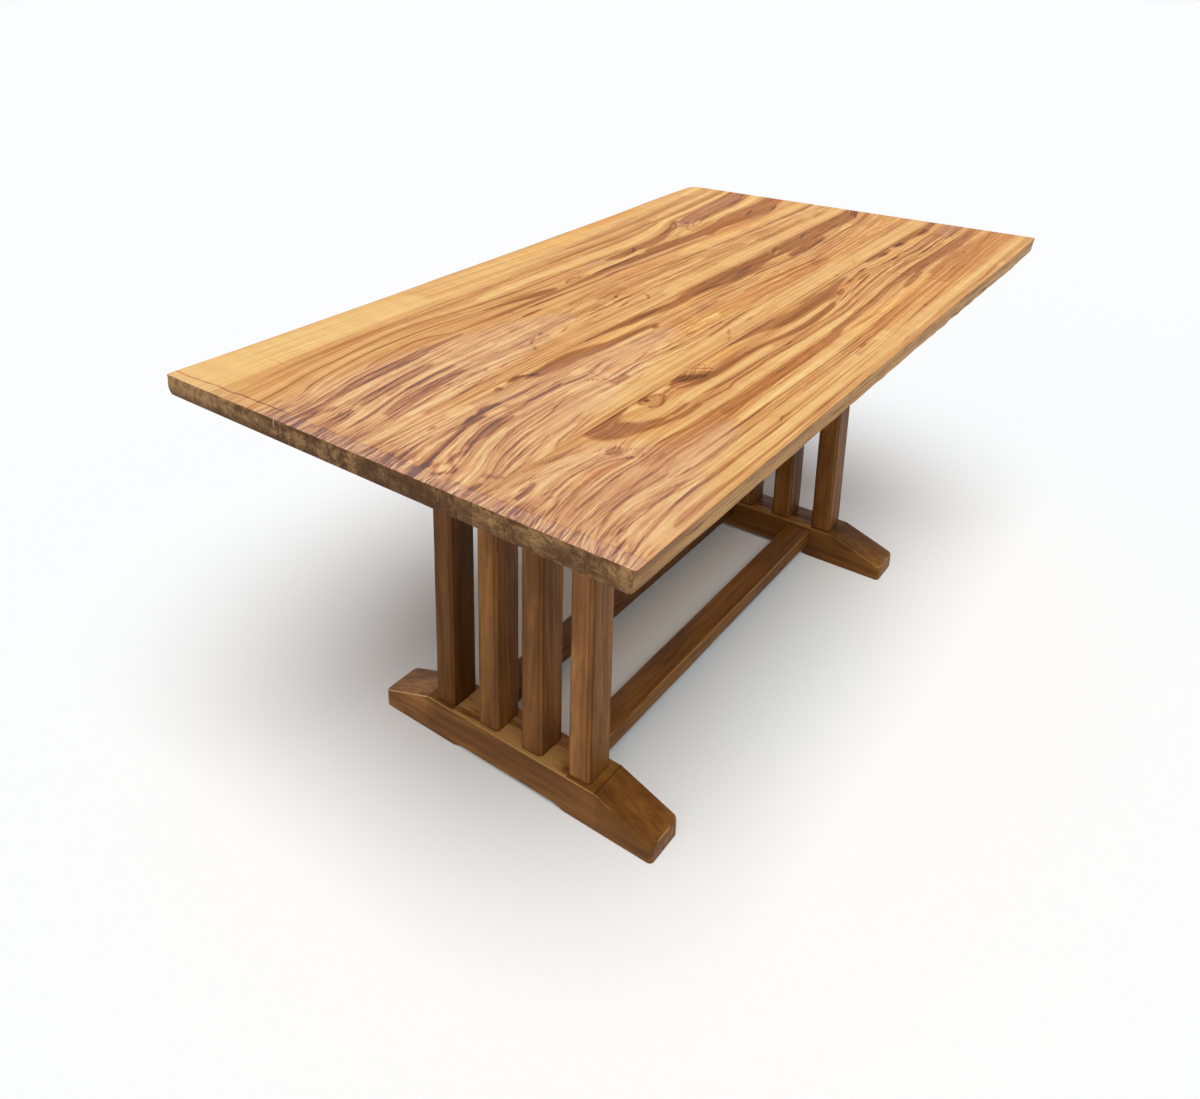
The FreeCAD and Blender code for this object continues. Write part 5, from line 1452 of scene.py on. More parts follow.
RIGHT_STROKES = (
    *bands(PALE, 0.75, 10, (-860, -424, 10, -650, -412, 8, -430, -412, 9, 0, -410, 14, 60, -410, 16,
     430, -412, 9, 860, -415, 8), (0, -388, 8, 40, -387, 6)),
    *bands(PALE, 0.75, 5, (-700, -386, 4, -430, -387, 6, -100, -388, 6), (-430, -300, 5, -200, -298, 8,
     0, -300, 6, 100, -300, 5), (-430, -348, 6, -100, -349, 8, 200, -345, 6, 430, -338, 5), (-625, -286, 2,
     -625, -297, 3), (540, -281, 3, 600, -281, 3), (680, -287, 3, 740, -287, 3), (570, -434, 4, 610, -434, 4),
     (-430, -256, 5, -300, -258, 6, -150, -262, 5)),
    *bands(PALE, 0.5, 8, (-536, -228, 8, -505, -238, 12, -440, -248, 9, -345, -256, 4), (-525, -208, 4,
     -498, -210, 7), (-428, -208, 4, -405, -206, 2), (-600, -277, 9, -520, -291, 8, -430, -294, 9,
     -250, -298, 7)),
    *bands(HONEY, 0.35, 4, (-535, -220, 5, -515, -226, 10, -500, -236, 7)),
    *bands(HONEY, 0.9, 4, (-290, -206, 4, -250, -215, 10, -180, -214, 6), (10, -206, 4, 60, -210, 3),
     (215, -232, 5, 260, -234, 6, 300, -236, 3), (430, -230, 4, 480, -230, 5, 560, -227, 4), (600, -232, 4,
     760, -233, 4), (-760, -278, 3, -700, -279, 9, -650, -290, 5)),
    *bands(HONEY, 0.6, 14, (-640, -312, 8, -500, -322, 12, -200, -325, 12, 0, -325, 12), (0, -350, 30,
     400, -370, 34, 860, -370, 34)),
    *bands(BLUSH, 0.85, 30, (-900, -320, 130, -700, -320, 110, -630, -340, 50, -480, -350, 20)),
    *bands(BLUSH, 0.35, 12, (-610, -208, 16, -575, -228, 20, -540, -245, 14)),
    *bands(BLUSH, 0.7, 12, (760, -265, 12, 800, -262, 18, 870, -268, 22)),
    *bands(BROWN, 1.0, 5, (-606, -206, 14, -592, -216, 20, -574, -230, 21, -556, -244, 12, -532, -254, 7,
     -505, -263, 4), (-600, -205, 16, -572, -208, 17, -550, -205, 11, -508, -202, 3), (-608, -206, 13,
     -607, -226, 13, -590, -240, 12), (-575, -222, 16, -563, -229, 12, -550, -238, 8), (-405, -218, 3,
     -385, -214, 9, -362, -217, 15, -344, -222, 13, -325, -233, 7, -300, -241, 5), (-190, -202, 2,
     -150, -206, 5, -100, -210, 9, -50, -218, 15, 0, -224, 17, 60, -227, 15, 120, -226, 16, 170, -228, 17,
     210, -222, 9, 260, -215, 6, 300, -213, 3), (-400, -225, 2, -380, -233, 4, -350, -240, 6, -300, -244, 8,
     -250, -243, 8, -200, -244, 7, -150, -248, 6, -100, -256, 6, -50, -262, 7, 0, -265, 7, 60, -263, 7,
     110, -260, 6, 135, -255, 3), (-590, -252, 2, -560, -257, 5, -530, -268, 5, -500, -275, 5, -470, -280, 5,
     -430, -279, 4), (430, -207, 4, 480, -210, 7, 510, -213, 8, 556, -209, 6), (580, -211, 6, 610, -214, 9,
     660, -213, 7, 700, -217, 8, 750, -220, 10, 790, -217, 9, 870, -211, 8)),
    *bands(BROWN, 0.45, 8, (-640, -315, 8, -600, -314, 13, -500, -320, 13, -400, -321, 10)),
    *bands(BROWN, 0.8, 5, (-430, -321, 9, -300, -322, 10, -150, -323, 10, -50, -325, 9, 0, -318, 8),
     (0, -317, 6, 100, -313, 7, 200, -310, 7, 280, -303, 7, 350, -303, 7, 430, -302, 9), (430, -304, 12,
     550, -308, 13, 650, -311, 14, 760, -310, 12, 860, -305, 10), (310, -328, 3, 350, -325, 6, 430, -320, 5)),
    *lines(PLUM, 0.85, 2.6, (-830, -292, -800, -287, -780, -278, -750, -272, -700, -268, -670, -272,
     -650, -280, -635, -290, -625, -299, -613, -296), (-790, -310, -760, -310, -700, -305, -680, -305),
     (-830, -365, -790, -352, -760, -346, -720, -345, -680, -348, -640, -352), (40, -279, 100, -278,
     150, -276, 180, -272, 240, -268, 300, -264, 380, -260, 430, -259), (60, -204, 100, -207, 150, -206,
     250, -204, 300, -203), (150, -262, 210, -256, 290, -250, 350, -243), (560, -276, 600, -276, 640, -276)),
    *bands(PLUM, 0.95, 2, (-641, -262, 7, -632, -262, 11, -622, -262, 6), (-474, -210, 2, -468, -212, 3.5,
     -462, -213, 2), (183, -246, 2, 198, -242, 6, 222, -237, 4), (-814, -240, 4, -790, -238, 5,
     -770, -232, 4), (-60, -380, 3, -38, -379, 4)),
    *bands(BROWN, 0.5, 4, (-480, -218, 5, -468, -219, 13, -455, -220, 11, -436, -220, 4)),
    *bands(BROWN, 0.9, 3, (-484, -266, 3, -460, -265, 4, -438, -264, 3)),
    *bands(PLUM, 0.65, 3, (-748, -422, 3, -722, -420, 6, -690, -420, 6, -640, -421, 4.5, -600, -423, 3.5,
     -500, -424, 3, -430, -424, 2)),
    *bands(PLUM, 0.75, 2, (-338, -201, 3.4, -327, -214, 3.4, -312, -231, 3.4), (-319, -201, 3.4,
     -309, -213, 3.4, -296, -228, 2.6), (-301, -201, 2.6, -292, -212, 2.6)),
    *bands(PLUM, 0.5, 5, (-378, -206, 5, -362, -214, 11, -346, -224, 9, -330, -233, 5)),
    *bands(PLUM, 0.5, 4, (272, -229, 3, 290, -228, 3.5), (355, -221, 4, 380, -221, 4), (595, -213, 5,
     620, -216, 6), (490, -212, 4, 520, -215, 5), (720, -221, 5, 775, -221, 6), (480, -245, 3, 508, -244, 4)),
    *lines(BROWN, 1.0, 3.0, (-487, -220, -481, -209, -468, -205, -450, -210, -432, -219, -448, -229,
     -465, -236, -481, -231, -487, -221), (-436, -220, -420, -218, -400, -217)),
    *lines(BROWN, 0.9, 2.6, (-440, -278, -400, -281, -350, -286, -320, -281, -250, -283, -200, -281,
     -100, -288, 0, -290, 100, -291, 180, -285), (-390, -264, -350, -270, -300, -273, -200, -274, -100, -278,
     0, -278, 40, -279), (-560, -247, -530, -257, -500, -263, -440, -264), (-625, -300, -580, -297,
     -550, -300, -500, -308, -430, -310, -300, -312, -200, -313, -50, -317), (-640, -322, -600, -322,
     -500, -330, -430, -332, -350, -328, -200, -332, -70, -335), (430, -237, 460, -241, 510, -243, 540, -240,
     600, -247, 650, -243, 740, -243, 860, -240), (430, -262, 470, -257, 540, -257, 600, -262, 700, -262,
     760, -260, 860, -258), (430, -273, 500, -270, 560, -277, 640, -276, 700, -273, 760, -280, 860, -272),
     (300, -239, 350, -237), (430, -204, 560, -205, 640, -205, 760, -207, 860, -210), (210, -230, 265, -229,
     310, -226, 350, -222, 390, -221)),
    *lines(PLUM, 0.75, 1.7, (-760, -205, -730, -208, -700, -215, -650, -220), (-720, -212, -700, -217,
     -670, -224, -650, -228), (-735, -203, -700, -210, -655, -218), (-800, -217, -770, -222, -730, -232,
     -700, -238), (-790, -215, -750, -222, -700, -228), (-760, -243, -700, -248, -650, -253), (-795, -230,
     -780, -232), (-795, -257, -765, -262), (-790, -268, -775, -275), (-845, -262, -830, -260), (-830, -272,
     -815, -268), (-820, -290, -795, -285), (-780, -300, -700, -297, -650, -300), (-800, -335, -750, -327),
     (-740, -330, -690, -333, -600, -338), (-600, -354, -500, -356, -430, -358, -350, -359, -200, -361,
     0, -364), (-650, -362, -600, -370, -500, -373, -430, -374, -350, -372, -200, -375, 0, -376), (-720, -365,
     -690, -370, -660, -374, -620, -378), (-710, -376, -690, -380, -660, -385, -610, -393), (-820, -370,
     -760, -362), (-830, -372, -760, -370), (-810, -380, -750, -378), (-830, -415, -800, -408, -770, -405,
     -740, -402, -700, -397, -650, -397, -600, -400, -430, -402, 0, -402), (-860, -400, -800, -391),
     (-745, -425, -720, -420, -680, -420, -600, -425, -430, -424, -350, -424, -170, -423), (-135, -279,
     -100, -277), (-410, -398, -395, -393, -375, -396), (-646, -262, -680, -258), (-616, -262, -596, -258),
     (-640, -250, -655, -240), (-622, -275, -605, -283)),
    *lines(PLUM, 0.5, 1.6, (-856, -203, -300, -203, 300, -203, 856, -203)),
    *lines(BROWN, 0.6, 2.0, (0, -363, 30, -365, 90, -363, 200, -360, 320, -355, 430, -354), (0, -377,
     100, -375, 200, -370, 320, -367, 400, -366, 520, -364), (0, -402, 100, -398, 225, -395, 350, -391,
     440, -389), (-290, -228, -175, -230), (0, -426, 30, -426, 90, -423), (210, -425, 300, -426, 330, -427,
     420, -427, 500, -429, 620, -425), (20, -334, 60, -336, 120, -337, 170, -333, 310, -325), (560, -350,
     600, -348, 640, -346, 680, -343), (700, -345, 760, -343, 860, -338), (740, -355, 800, -353), (-220, -412,
     -60, -410)),
    *lines(PLUM, 0.5, 2.4, (26, -426, 40, -426), (214, -396, 236, -395), (625, -348, 645, -346)),
    *bands(BROWN, 0.4, 16, (740, -262, 14, 800, -262, 24, 870, -262, 26), (430, -366, 30, 600, -366, 38,
     860, -366, 26)),
    *bands(FLECK, 0.68, 25, (-860, -320, 110, -690, -320, 95, -620, -345, 30)),
    *bands(FLECK, 0.35, 25, (-560, -350, 40, 0, -330, 60, 860, -300, 60)),
)
RIGHT_FIGURE = BoardFigure(RIGHT_GUIDES, RIGHT_KNOTS, RIGHT_STROKES)


# ---------------------------------------------------------------- top boards

class Side(Enum):
    """Side of a board that has its natural edge."""

    LEFT = 1
    RIGHT = -1
    NEITHER = 0


class Slot(Enum):
    """Material slot of a board's faces."""

    FACE = 0
    END = 1
    EDGE = 2
    UNDERSIDE = 3


def waves(*parts: Union[np.ndarray, float]) -> np.ndarray:
    """Smooth noise at places given by their three parts, each an array or one number."""
    return np.array([noise.noise(Vector(place)) for place in np.broadcast(*parts)])


@dataclass
class TopBoard:
    """One board of the top, with a close grid of points on its face to carry its figure.

    Sizes are in mm. Depth is measured down from the face.
    """

    node: str
    seam_side: float
    outer_side: float
    natural: Side
    figure: BoardFigure
    seed: float
    edge: tuple[Pair, ...] = ()
    near_corner: float = 0.0
    far_corner: float = 0.0
    under_round: float = 0.0
    undercut: float = 0.0
    length: float = 1710.0
    half_width: float = 440.0
    thickness: float = 32.0
    face_level: float = 760.0
    pitch_along: float = 6.0
    pitch_across: float = 2.0
    corner_reach: float = 44.0
    arris: float = 1.1
    seam_arris: Pair = (0.6, 0.35)
    end_arris: tuple[Triple, Triple] = ((0.0, 1.1, 5.0), (0.9, 0.15, 0.0))
    end_nicks: float = 0.7
    end_chamfer: float = 0.8
    edge_chamfer: float = 1.5
    rim_ripple: float = 0.9
    wall_dip: float = 1.4
    wall_waves: float = 1.5
    stretch_from: float = 0.6
    levels: Row = (0.0, 1.1, 5.0, 10.0, 15.0, 19.0, 23.0, 26.5, 29.5, 31.2, 32.0)

    def outer_edge(self, x: np.ndarray) -> np.ndarray:
        """Find the y of the board's outer side.

        Args:
            x: where along the board.
        Returns:
            The y at each x.
        """
        if not self.edge:
            return np.full(len(x), self.outer_side)
        stations = [(along * self.length, self.natural.value * self.half_width * (1 + wave))
                    for along, wave in self.edge]
        ripple = 0.5 + 0.5 * waves(x / 31.0, self.seed, 0.3)
        return curve_through(stations, x) - self.natural.value * self.rim_ripple * ripple

    def seam_inset(self, depth: np.ndarray) -> np.ndarray:
        """How far the wall at a seam stands in, at each depth."""
        return np.interp(depth, (0.0, self.seam_arris[0]), (self.seam_arris[1], 0.0))

    def side_inset(self, x: np.ndarray, depth: np.ndarray) -> np.ndarray:
        """Find how far the outer wall stands in from the plan.

        Args:
            x, depth: place on the wall.
        Returns:
            The inset at each place.
        """
        if self.natural is Side.NEITHER:
            return self.seam_inset(depth)
        inset = np.interp(depth, (0.0, self.arris), (self.arris, 0.0))
        dip = self.wall_dip + self.wall_waves * waves(x / 46.0, depth / 13.0, self.seed)
        inset = inset + np.clip(depth / 6.0, 0, 1) * dip
        if self.under_round:
            drop = np.clip(depth - (self.thickness - self.under_round), 0.0, self.under_round)
            inset = inset + self.under_round - np.sqrt(np.maximum(self.under_round ** 2 - drop ** 2, 0.0))
        if self.undercut:
            inset = inset + self.undercut * depth / self.thickness
            inset = inset + np.clip(depth - self.thickness + self.edge_chamfer, 0.0, self.edge_chamfer)
        return inset

    def end_inset(self, y: np.ndarray, depth: np.ndarray, end: np.ndarray) -> np.ndarray:
        """Find how far an end wall stands in from the plan.

        Args:
            y, depth: place on the wall.
            end: which end, as a sign.
        Returns:
            The inset at each place.
        """
        nick = waves(y / 7.0, end / 3.0, self.seed + 4.0)
        lower = np.clip(depth - self.thickness + self.end_chamfer, 0.0, self.end_chamfer)
        return np.interp(depth, *self.end_arris) * (1.0 + self.end_nicks * nick) + lower

    def round_corner(self, x: np.ndarray, y: np.ndarray, reach: float, radius: float,
                     end_in: np.ndarray, side_in: np.ndarray) -> None:
        """Press the square grid of an outer corner into a round one, in place.

        Args:
            x, y: place of each vertex.
            reach: which end of the board, as a sign.
            radius: of the corner.
            end_in, side_in: how far the walls stand in at each vertex.
        """
        side = self.natural.value
        end = reach * (self.length / 2 - end_in)
        rim = float(self.outer_edge(np.array([reach * self.length / 2]))[0]) - side * side_in
        a = (x - (end - reach * radius)) * reach / radius
        b = (y - (rim - side * radius)) * side / radius
        inside = (a > 0) & (b > 0)
        shrink = np.where(inside, np.maximum(a, b) / np.maximum(np.hypot(a, b), 1e-9), 1.0)
        x[:] = np.where(inside, end - reach * radius + reach * a * shrink * radius, x)
        y[:] = np.where(inside, rim - side * radius + side * b * shrink * radius, y)

    def slab(self) -> bpy.types.Object:
        """Draw a grid for the face down, level by level, into a closed slab.

        Returns:
            The slab.
        """
        low, high = sorted((self.seam_side, self.outer_side))
        Bench.clear()
        bpy.ops.mesh.primitive_grid_add(
            x_subdivisions=round(self.length / self.pitch_along),
            y_subdivisions=round((high - low) / self.pitch_across), size=1.0,
            location=(0.0, (low + high) / 2 * MM, self.face_level * MM))
        bpy.ops.transform.resize(value=(self.length * MM, (high - low) * MM, 1.0))
        piece = Bench.name("figured_" + self.node)
        bpy.ops.object.mode_set(mode="EDIT")
        bpy.ops.mesh.select_mode(type=Part.EDGE.value)
        bpy.ops.mesh.select_all(action="SELECT")
        bpy.ops.mesh.region_to_loop()
        for above, below in zip(self.levels[:-1], self.levels[1:]):
            drop = (0.0, 0.0, (above - below) * MM)
            bpy.ops.mesh.extrude_region_move(TRANSFORM_OT_translate={"value": drop})
        bpy.ops.mesh.edge_face_add()
        Bench.clear()
        return piece

    def shape(self, mesh: bpy.types.Mesh) -> None:
        """Give the slab its edges, ends and corners, and lay the figure on it.

        Args:
            mesh: the slab's mesh.
        """
        points = Bench.places(mesh).astype(float) / MM
        x, y, depth = points[:, X].copy(), points[:, Y].copy(), self.face_level - points[:, Z]
        end = np.sign(x)
        on_end = np.abs(np.abs(x) - self.length / 2) < 0.01
        on_outer, on_seam = (np.abs(y - side) < 0.01 for side in (self.outer_side, self.seam_side))
        wall = on_end | on_outer | on_seam
        outward = 1.0 if self.outer_side > self.seam_side else -1.0

        share = (y - self.seam_side) / (self.outer_side - self.seam_side)
        moved = np.clip((share - self.stretch_from) / (1.0 - self.stretch_from), 0, 1)
        y = y + (self.outer_edge(x) - self.outer_side) * moved
        plan = np.column_stack([x, y])
        end_in = self.end_inset(y, depth, end) * wall
        side_in = self.side_inset(x, depth) * wall
        near_rim = 1.0 - np.abs(self.outer_edge(x) - y) / self.corner_reach
        x = x - end * end_in * on_end
        y = y - outward * side_in * np.where(on_end, np.clip(near_rim, 0, 1), on_outer)
        y = y + outward * self.seam_inset(depth) * on_seam
        for reach, radius in ((-1.0, self.near_corner), (1.0, self.far_corner)):
            if radius > 0.0:
                self.round_corner(x, y, reach, radius, end_in, side_in)
        points[:, X], points[:, Y] = x, y
        mesh.vertices.foreach_set("co", (points * MM).astype(np.float32).ravel())
        mesh.update()
        self.figure.lay(mesh, plan, depth, self.seed)

    def build(self, materials: Sequence[bpy.types.Material]) -> None:
        """Make the board and dress it.

        Args:
            materials: one for each slot.
        """
        piece = self.slab()
        mesh = piece.data
        self.shape(mesh)
        Bench.finish(piece, "top_wood", self.node, materials, angle=40.0)
        normals = np.empty(len(mesh.polygons) * 3, np.float32)
        mesh.polygons.foreach_get("normal", normals)
        normals = normals.reshape(-1, 3)
        slot = np.full(len(normals), Slot.EDGE.value)
        slot[np.abs(normals[:, X]) > 0.6] = Slot.END.value
        slot[normals[:, Z] > 0.8] = Slot.FACE.value
        slot[normals[:, Z] < -0.8] = Slot.UNDERSIDE.value
        mesh.polygons.foreach_set("material_index", slot.astype(np.int32))
        mesh.update()


class TableTop:
    """The three boards, edge to edge."""

    left_edge = ((-0.50, 0.0), (-0.41, -0.007), (-0.33, -0.009), (-0.22, -0.011), (-0.12, -0.008),
                 (0.0, -0.007), (0.12, -0.002), (0.25, 0.0035), (0.33, 0.0125), (0.41, 0.0215),
                 (0.50, 0.0205))
    right_edge = ((-0.50, -0.007), (-0.36, -0.008), (-0.24, -0.008), (-0.14, -0.006), (0.0, -0.0035),
                  (0.12, -0.002), (0.23, 0.0), (0.32, 0.0035), (0.38, 0.0065), (0.50, 0.0025))
    underside = PlainGrainFinish("sawn_underside", GrainAxis.ALONG, srgb(214, 164, 106),
                                 srgb(190, 138, 82), srgb(142, 96, 56), srgb(214, 164, 106), 0.6)

    def build(self) -> None:
        """Make and dress the boards."""
        dressing = {Slot.FACE: TopFaceFinish(), Slot.END: EndGrainFinish(), Slot.EDGE: NaturalEdgeFinish(),
                    Slot.UNDERSIDE: self.underside}
        materials = [dressing[slot].build() for slot in Slot]
        for board in (
                TopBoard("left_board", 0.0, 440.0, Side.LEFT, LEFT_FIGURE, 0.0, self.left_edge,
                         near_corner=6.0, far_corner=28.0, under_round=13.0),
                TopBoard("middle_board", 0.0, -202.0, Side.NEITHER, MIDDLE_FIGURE, 3.0),
                TopBoard("right_board", -202.0, -440.0, Side.RIGHT, RIGHT_FIGURE, 7.0, self.right_edge,
                         near_corner=4.0, far_corner=4.0, undercut=4.0)):
            board.build(materials)


# ---------------------------------------------------------------- trestles

@dataclass
class Post:
    """Upright post with chamfered arrises and a tenon at each end."""

    node: str
    foot_top: float
    bearer_low: float
    seed: float
    # Tones of the front and of the side faces: partly the plank's own tone, partly painted shade and light.
    tone: float
    side_shaded_tone: float
    chamfer: float = 6 * MM
    rounding: float = 1.5 * MM
    foot_tenon: float = 45 * MM
    bearer_tenon: float = 38 * MM
    tenon_share: Triple = (26 / 67, 33 / 46, 1.0)
    unevenness: Pair = (0.8 * MM, 0.07)
    joint_darkening_reach: float = 3 * MM
    end_cuts: Pair = (1 * MM, 3 * MM)
    stations: int = 26
    side_band: float = 2 * MM

    def build(self, material: bpy.types.Material) -> None:
        """Make and dress the post.

        Args:
            material: its finish.
        """
        def upright(middle: Vector, run: Vector) -> bool:
            """Whether an edge runs up the post."""
            return abs(run.z) > 0.9

        low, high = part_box(self.node)
        piece = Bench.block("dressed_" + self.node, (low.x, low.y, self.foot_top),
                            (high.x, high.y, self.bearer_low))
        first, second = self.end_cuts
        Bench.slice(piece, Z, [self.foot_top + first, self.foot_top + second, self.bearer_low - first,
                               *np.linspace(self.foot_top, self.bearer_low, self.stations)[1:-1]])
        Bench.round_edges(piece, upright, self.chamfer, 1)
        # The fine rounding at each chamfer's edges is darkened: painted shade lines along the chamfer.
        Bench.round_edges(piece, upright, self.rounding, 2, 0.7, Mark.GRIME)
        Bench.hand_plane(piece, *self.unevenness, self.seed)
        Bench.tenon(piece, Z, self.foot_top, -self.foot_tenon, self.tenon_share)
        Bench.tenon(piece, Z, self.bearer_low, self.bearer_tenon, self.tenon_share)
        # Darker where the post meets the foot: dirt and painted contact shade.
        Bench.grime(piece, Z, [self.foot_top], self.joint_darkening_reach)
        # Side faces take their own tone: painted shade and light beside the plank's tone.
        away = np.abs(Bench.places(piece.data)[:, Y] - (low.y + high.y) / 2)
        on_side = away > (high.y - low.y) / 2 - self.side_band
        Bench.paint(piece.data, Mark.STAIN, np.where(on_side, self.side_shaded_tone, self.tone))
        Bench.finish(piece, "base_wood", self.node, [material], angle=11.0)


@dataclass
class Foot:
    """Foot with sloping, blunt ends, a relieved sole and mortises for posts and stretchers."""

    node: str
    outward: float
    seed: float
    tone: Row
    half_flat: float = 186 * MM
    tip_drop: float = 41 * MM
    relief: float = 7 * MM
    relief_half: Pair = (105 * MM, 125 * MM)
    tip_round: float = 9 * MM
    arris: float = 2.6 * MM
    sole_arris: float = 1.2 * MM
    unevenness: Pair = (0.8 * MM, 0.08)
    crease: float = 1.6 * MM
    mortise: Triple = (26.4 * MM, 33.4 * MM, 47 * MM)
    rail_mortise: Triple = (50 * MM, 38.4 * MM, 15.4 * MM)
    rail_level: float = 50.75 * MM
    rail_offset: float = 101.5 * MM
    posts: Row = (151 * MM, 49 * MM, -47 * MM, -147 * MM)
    overcut: float = 20 * MM
    top_cut: float = 5 * MM
    cuts: range = range(-280, 281, 28)
    darkening_depth: float = 4 * MM
    # Where the tones along the foot are given; they carry painted shade and light.
    tone_at: Row = (-300 * MM, -192 * MM, -180 * MM, 180 * MM, 192 * MM)

    def form(self, piece: bpy.types.Object, low: Vector, high: Vector) -> None:
        """Slope the ends, relieve the sole and round the arrises.

        Args:
            piece: the plain block.
            low, high: its lowest and highest corner.
        """
        slope = self.tip_drop / (high.y - self.half_flat)
        inner, outer = self.relief_half

        def tip(middle: Vector, run: Vector) -> bool:
            """Whether an edge stands at a tip of the foot."""
            return abs(run.z) > 0.9 and abs(middle.y) > high.y - MM

        def upper(middle: Vector, run: Vector) -> bool:
            """Whether an edge bounds the upper faces of the foot."""
            past = abs(middle.y) - self.half_flat
            return (abs(middle.z - high.z + slope * max(0.0, past)) < 0.2 * MM
                    and not (abs(run.x) > 0.99 and abs(past) < MM))

        def sole(middle: Vector, run: Vector) -> bool:
            """Whether an edge bounds the sole."""
            rim = (abs(middle.x - low.x) < MM or abs(middle.x - high.x) < MM
                   or abs(middle.y) > high.y - self.tip_round - MM)
            return rim and middle.z < self.relief + MM and abs(run.z) < 0.5

        Bench.slice(piece, Y, (-self.half_flat, -outer, -inner, inner, outer, self.half_flat))
        Bench.shift_verts(piece, lambda place: abs(place.y) > high.y - MM and place.z > high.z - MM,
                          -self.tip_drop)
        Bench.shift_verts(piece, lambda place: abs(place.y) < inner + MM and place.z < MM, self.relief)
        Bench.round_edges(piece, tip, self.tip_round, 5)
        Bench.round_edges(piece, upper, self.arris, 3, 1.0)
        Bench.round_edges(piece, sole, self.sole_arris, 2, 0.6)

    def mortises(self, low: Vector, high: Vector) -> list[bpy.types.Object]:
        """Make blocks of the shape of the mortises.

        Args:
            low, high: lowest and highest corner of the foot.
        Returns:
            The blocks.
        """
        half_x, half_y = self.mortise[X] / 2, self.mortise[Y] / 2
        middle, floor, top = (low.x + high.x) / 2, high.z - self.mortise[Z], high.z + self.overcut
        cutters = [Bench.block("cutter", (middle - half_x, offset - half_y, floor),
                               (middle + half_x, offset + half_y, top)) for offset in self.posts]
        face = high.x if self.outward < 0 else low.x
        deep, half_y, half_z = self.rail_mortise[X], self.rail_mortise[Y] / 2, self.rail_mortise[Z] / 2
        near, far = sorted((face + self.outward * deep, face - self.outward * self.overcut))
        return cutters + [
            Bench.block("cutter", (near, offset - half_y, self.rail_level - half_z),
                        (far, offset + half_y, self.rail_level + half_z))
            for offset in (self.rail_offset, -self.rail_offset)]

    def build(self, material: bpy.types.Material) -> None:
        """Make and dress the foot.

        Args:
            material: its finish.
        """
        low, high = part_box(self.node)
        piece = Bench.block("dressed_" + self.node, low, high)
        self.form(piece, low, high)
        creases = [side * (self.half_flat + step) for side in (-1, 1) for step in (-self.crease, self.crease)]
        Bench.slice(piece, Z, [high.z - self.top_cut])
        Bench.slice(piece, Y, [*creases, *(value * MM for value in self.cuts)])
        Bench.hand_plane(piece, *self.unevenness, self.seed)
        Bench.hollow(piece, self.mortises(low, high))
        # Darker at the breaks between the flat top and the slopes, near the top only.
        Bench.grime(piece, Y, (self.half_flat, -self.half_flat), self.crease, high.z - self.darkening_depth)
        # Tone along the foot, stronger towards its top: partly the wood's own tone, partly painted shade and
        # light on the slopes and between the posts.
        places = Bench.places(piece.data)
        rise = np.clip((places[:, Z] - low.z) / (high.z - low.z), 0.3, 1.0)
        Bench.paint(piece.data, Mark.STAIN, np.interp(places[:, Y], self.tone_at, self.tone) * rise)
        Bench.finish(piece, "base_wood", self.node, [material])


@dataclass
class Stretcher:
    """Low rail from foot to foot, with rounded arrises and a tenon at each end."""

    node: str
    near_end: float
    far_end: float
    seed: float
    arris: float = 3 * MM
    tenon_share: Triple = (1.0, 38 / 55, 15 / 33.5)
    tenon_length: float = 48 * MM
    tone: float = -0.30
    unevenness: Pair = (0.7 * MM, 0.08)
    joint_darkening_reach: float = 3 * MM
    end_cuts: Pair = (1 * MM, 3 * MM)
    stations: int = 40

    def build(self, material: bpy.types.Material) -> None:
        """Make and dress the stretcher.

        Args:
            material: its finish.
        """
        low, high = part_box(self.node)
        piece = Bench.block("dressed_" + self.node, (self.near_end, low.y, low.z),
                            (self.far_end, high.y, high.z))
        first, second = self.end_cuts
        Bench.slice(piece, X, [self.near_end + first, self.near_end + second,
                               self.far_end - second, self.far_end - first,
                               *np.linspace(self.near_end, self.far_end, self.stations)[1:-1]])
        Bench.round_edges(piece, lambda middle, run: abs(run.x) > 0.9, self.arris, 3, 1.0)
        Bench.hand_plane(piece, *self.unevenness, self.seed)
        Bench.tenon(piece, X, self.near_end, -self.tenon_length, self.tenon_share)
        Bench.tenon(piece, X, self.far_end, self.tenon_length, self.tenon_share)
        # Darker where the stretcher enters the feet: dirt and painted contact shade.
        Bench.grime(piece, X, (self.near_end, self.far_end), self.joint_darkening_reach)
        Bench.paint(piece.data, Mark.STAIN, np.full(len(piece.data.vertices), self.tone))
        Bench.finish(piece, "base_wood", self.node, [material])


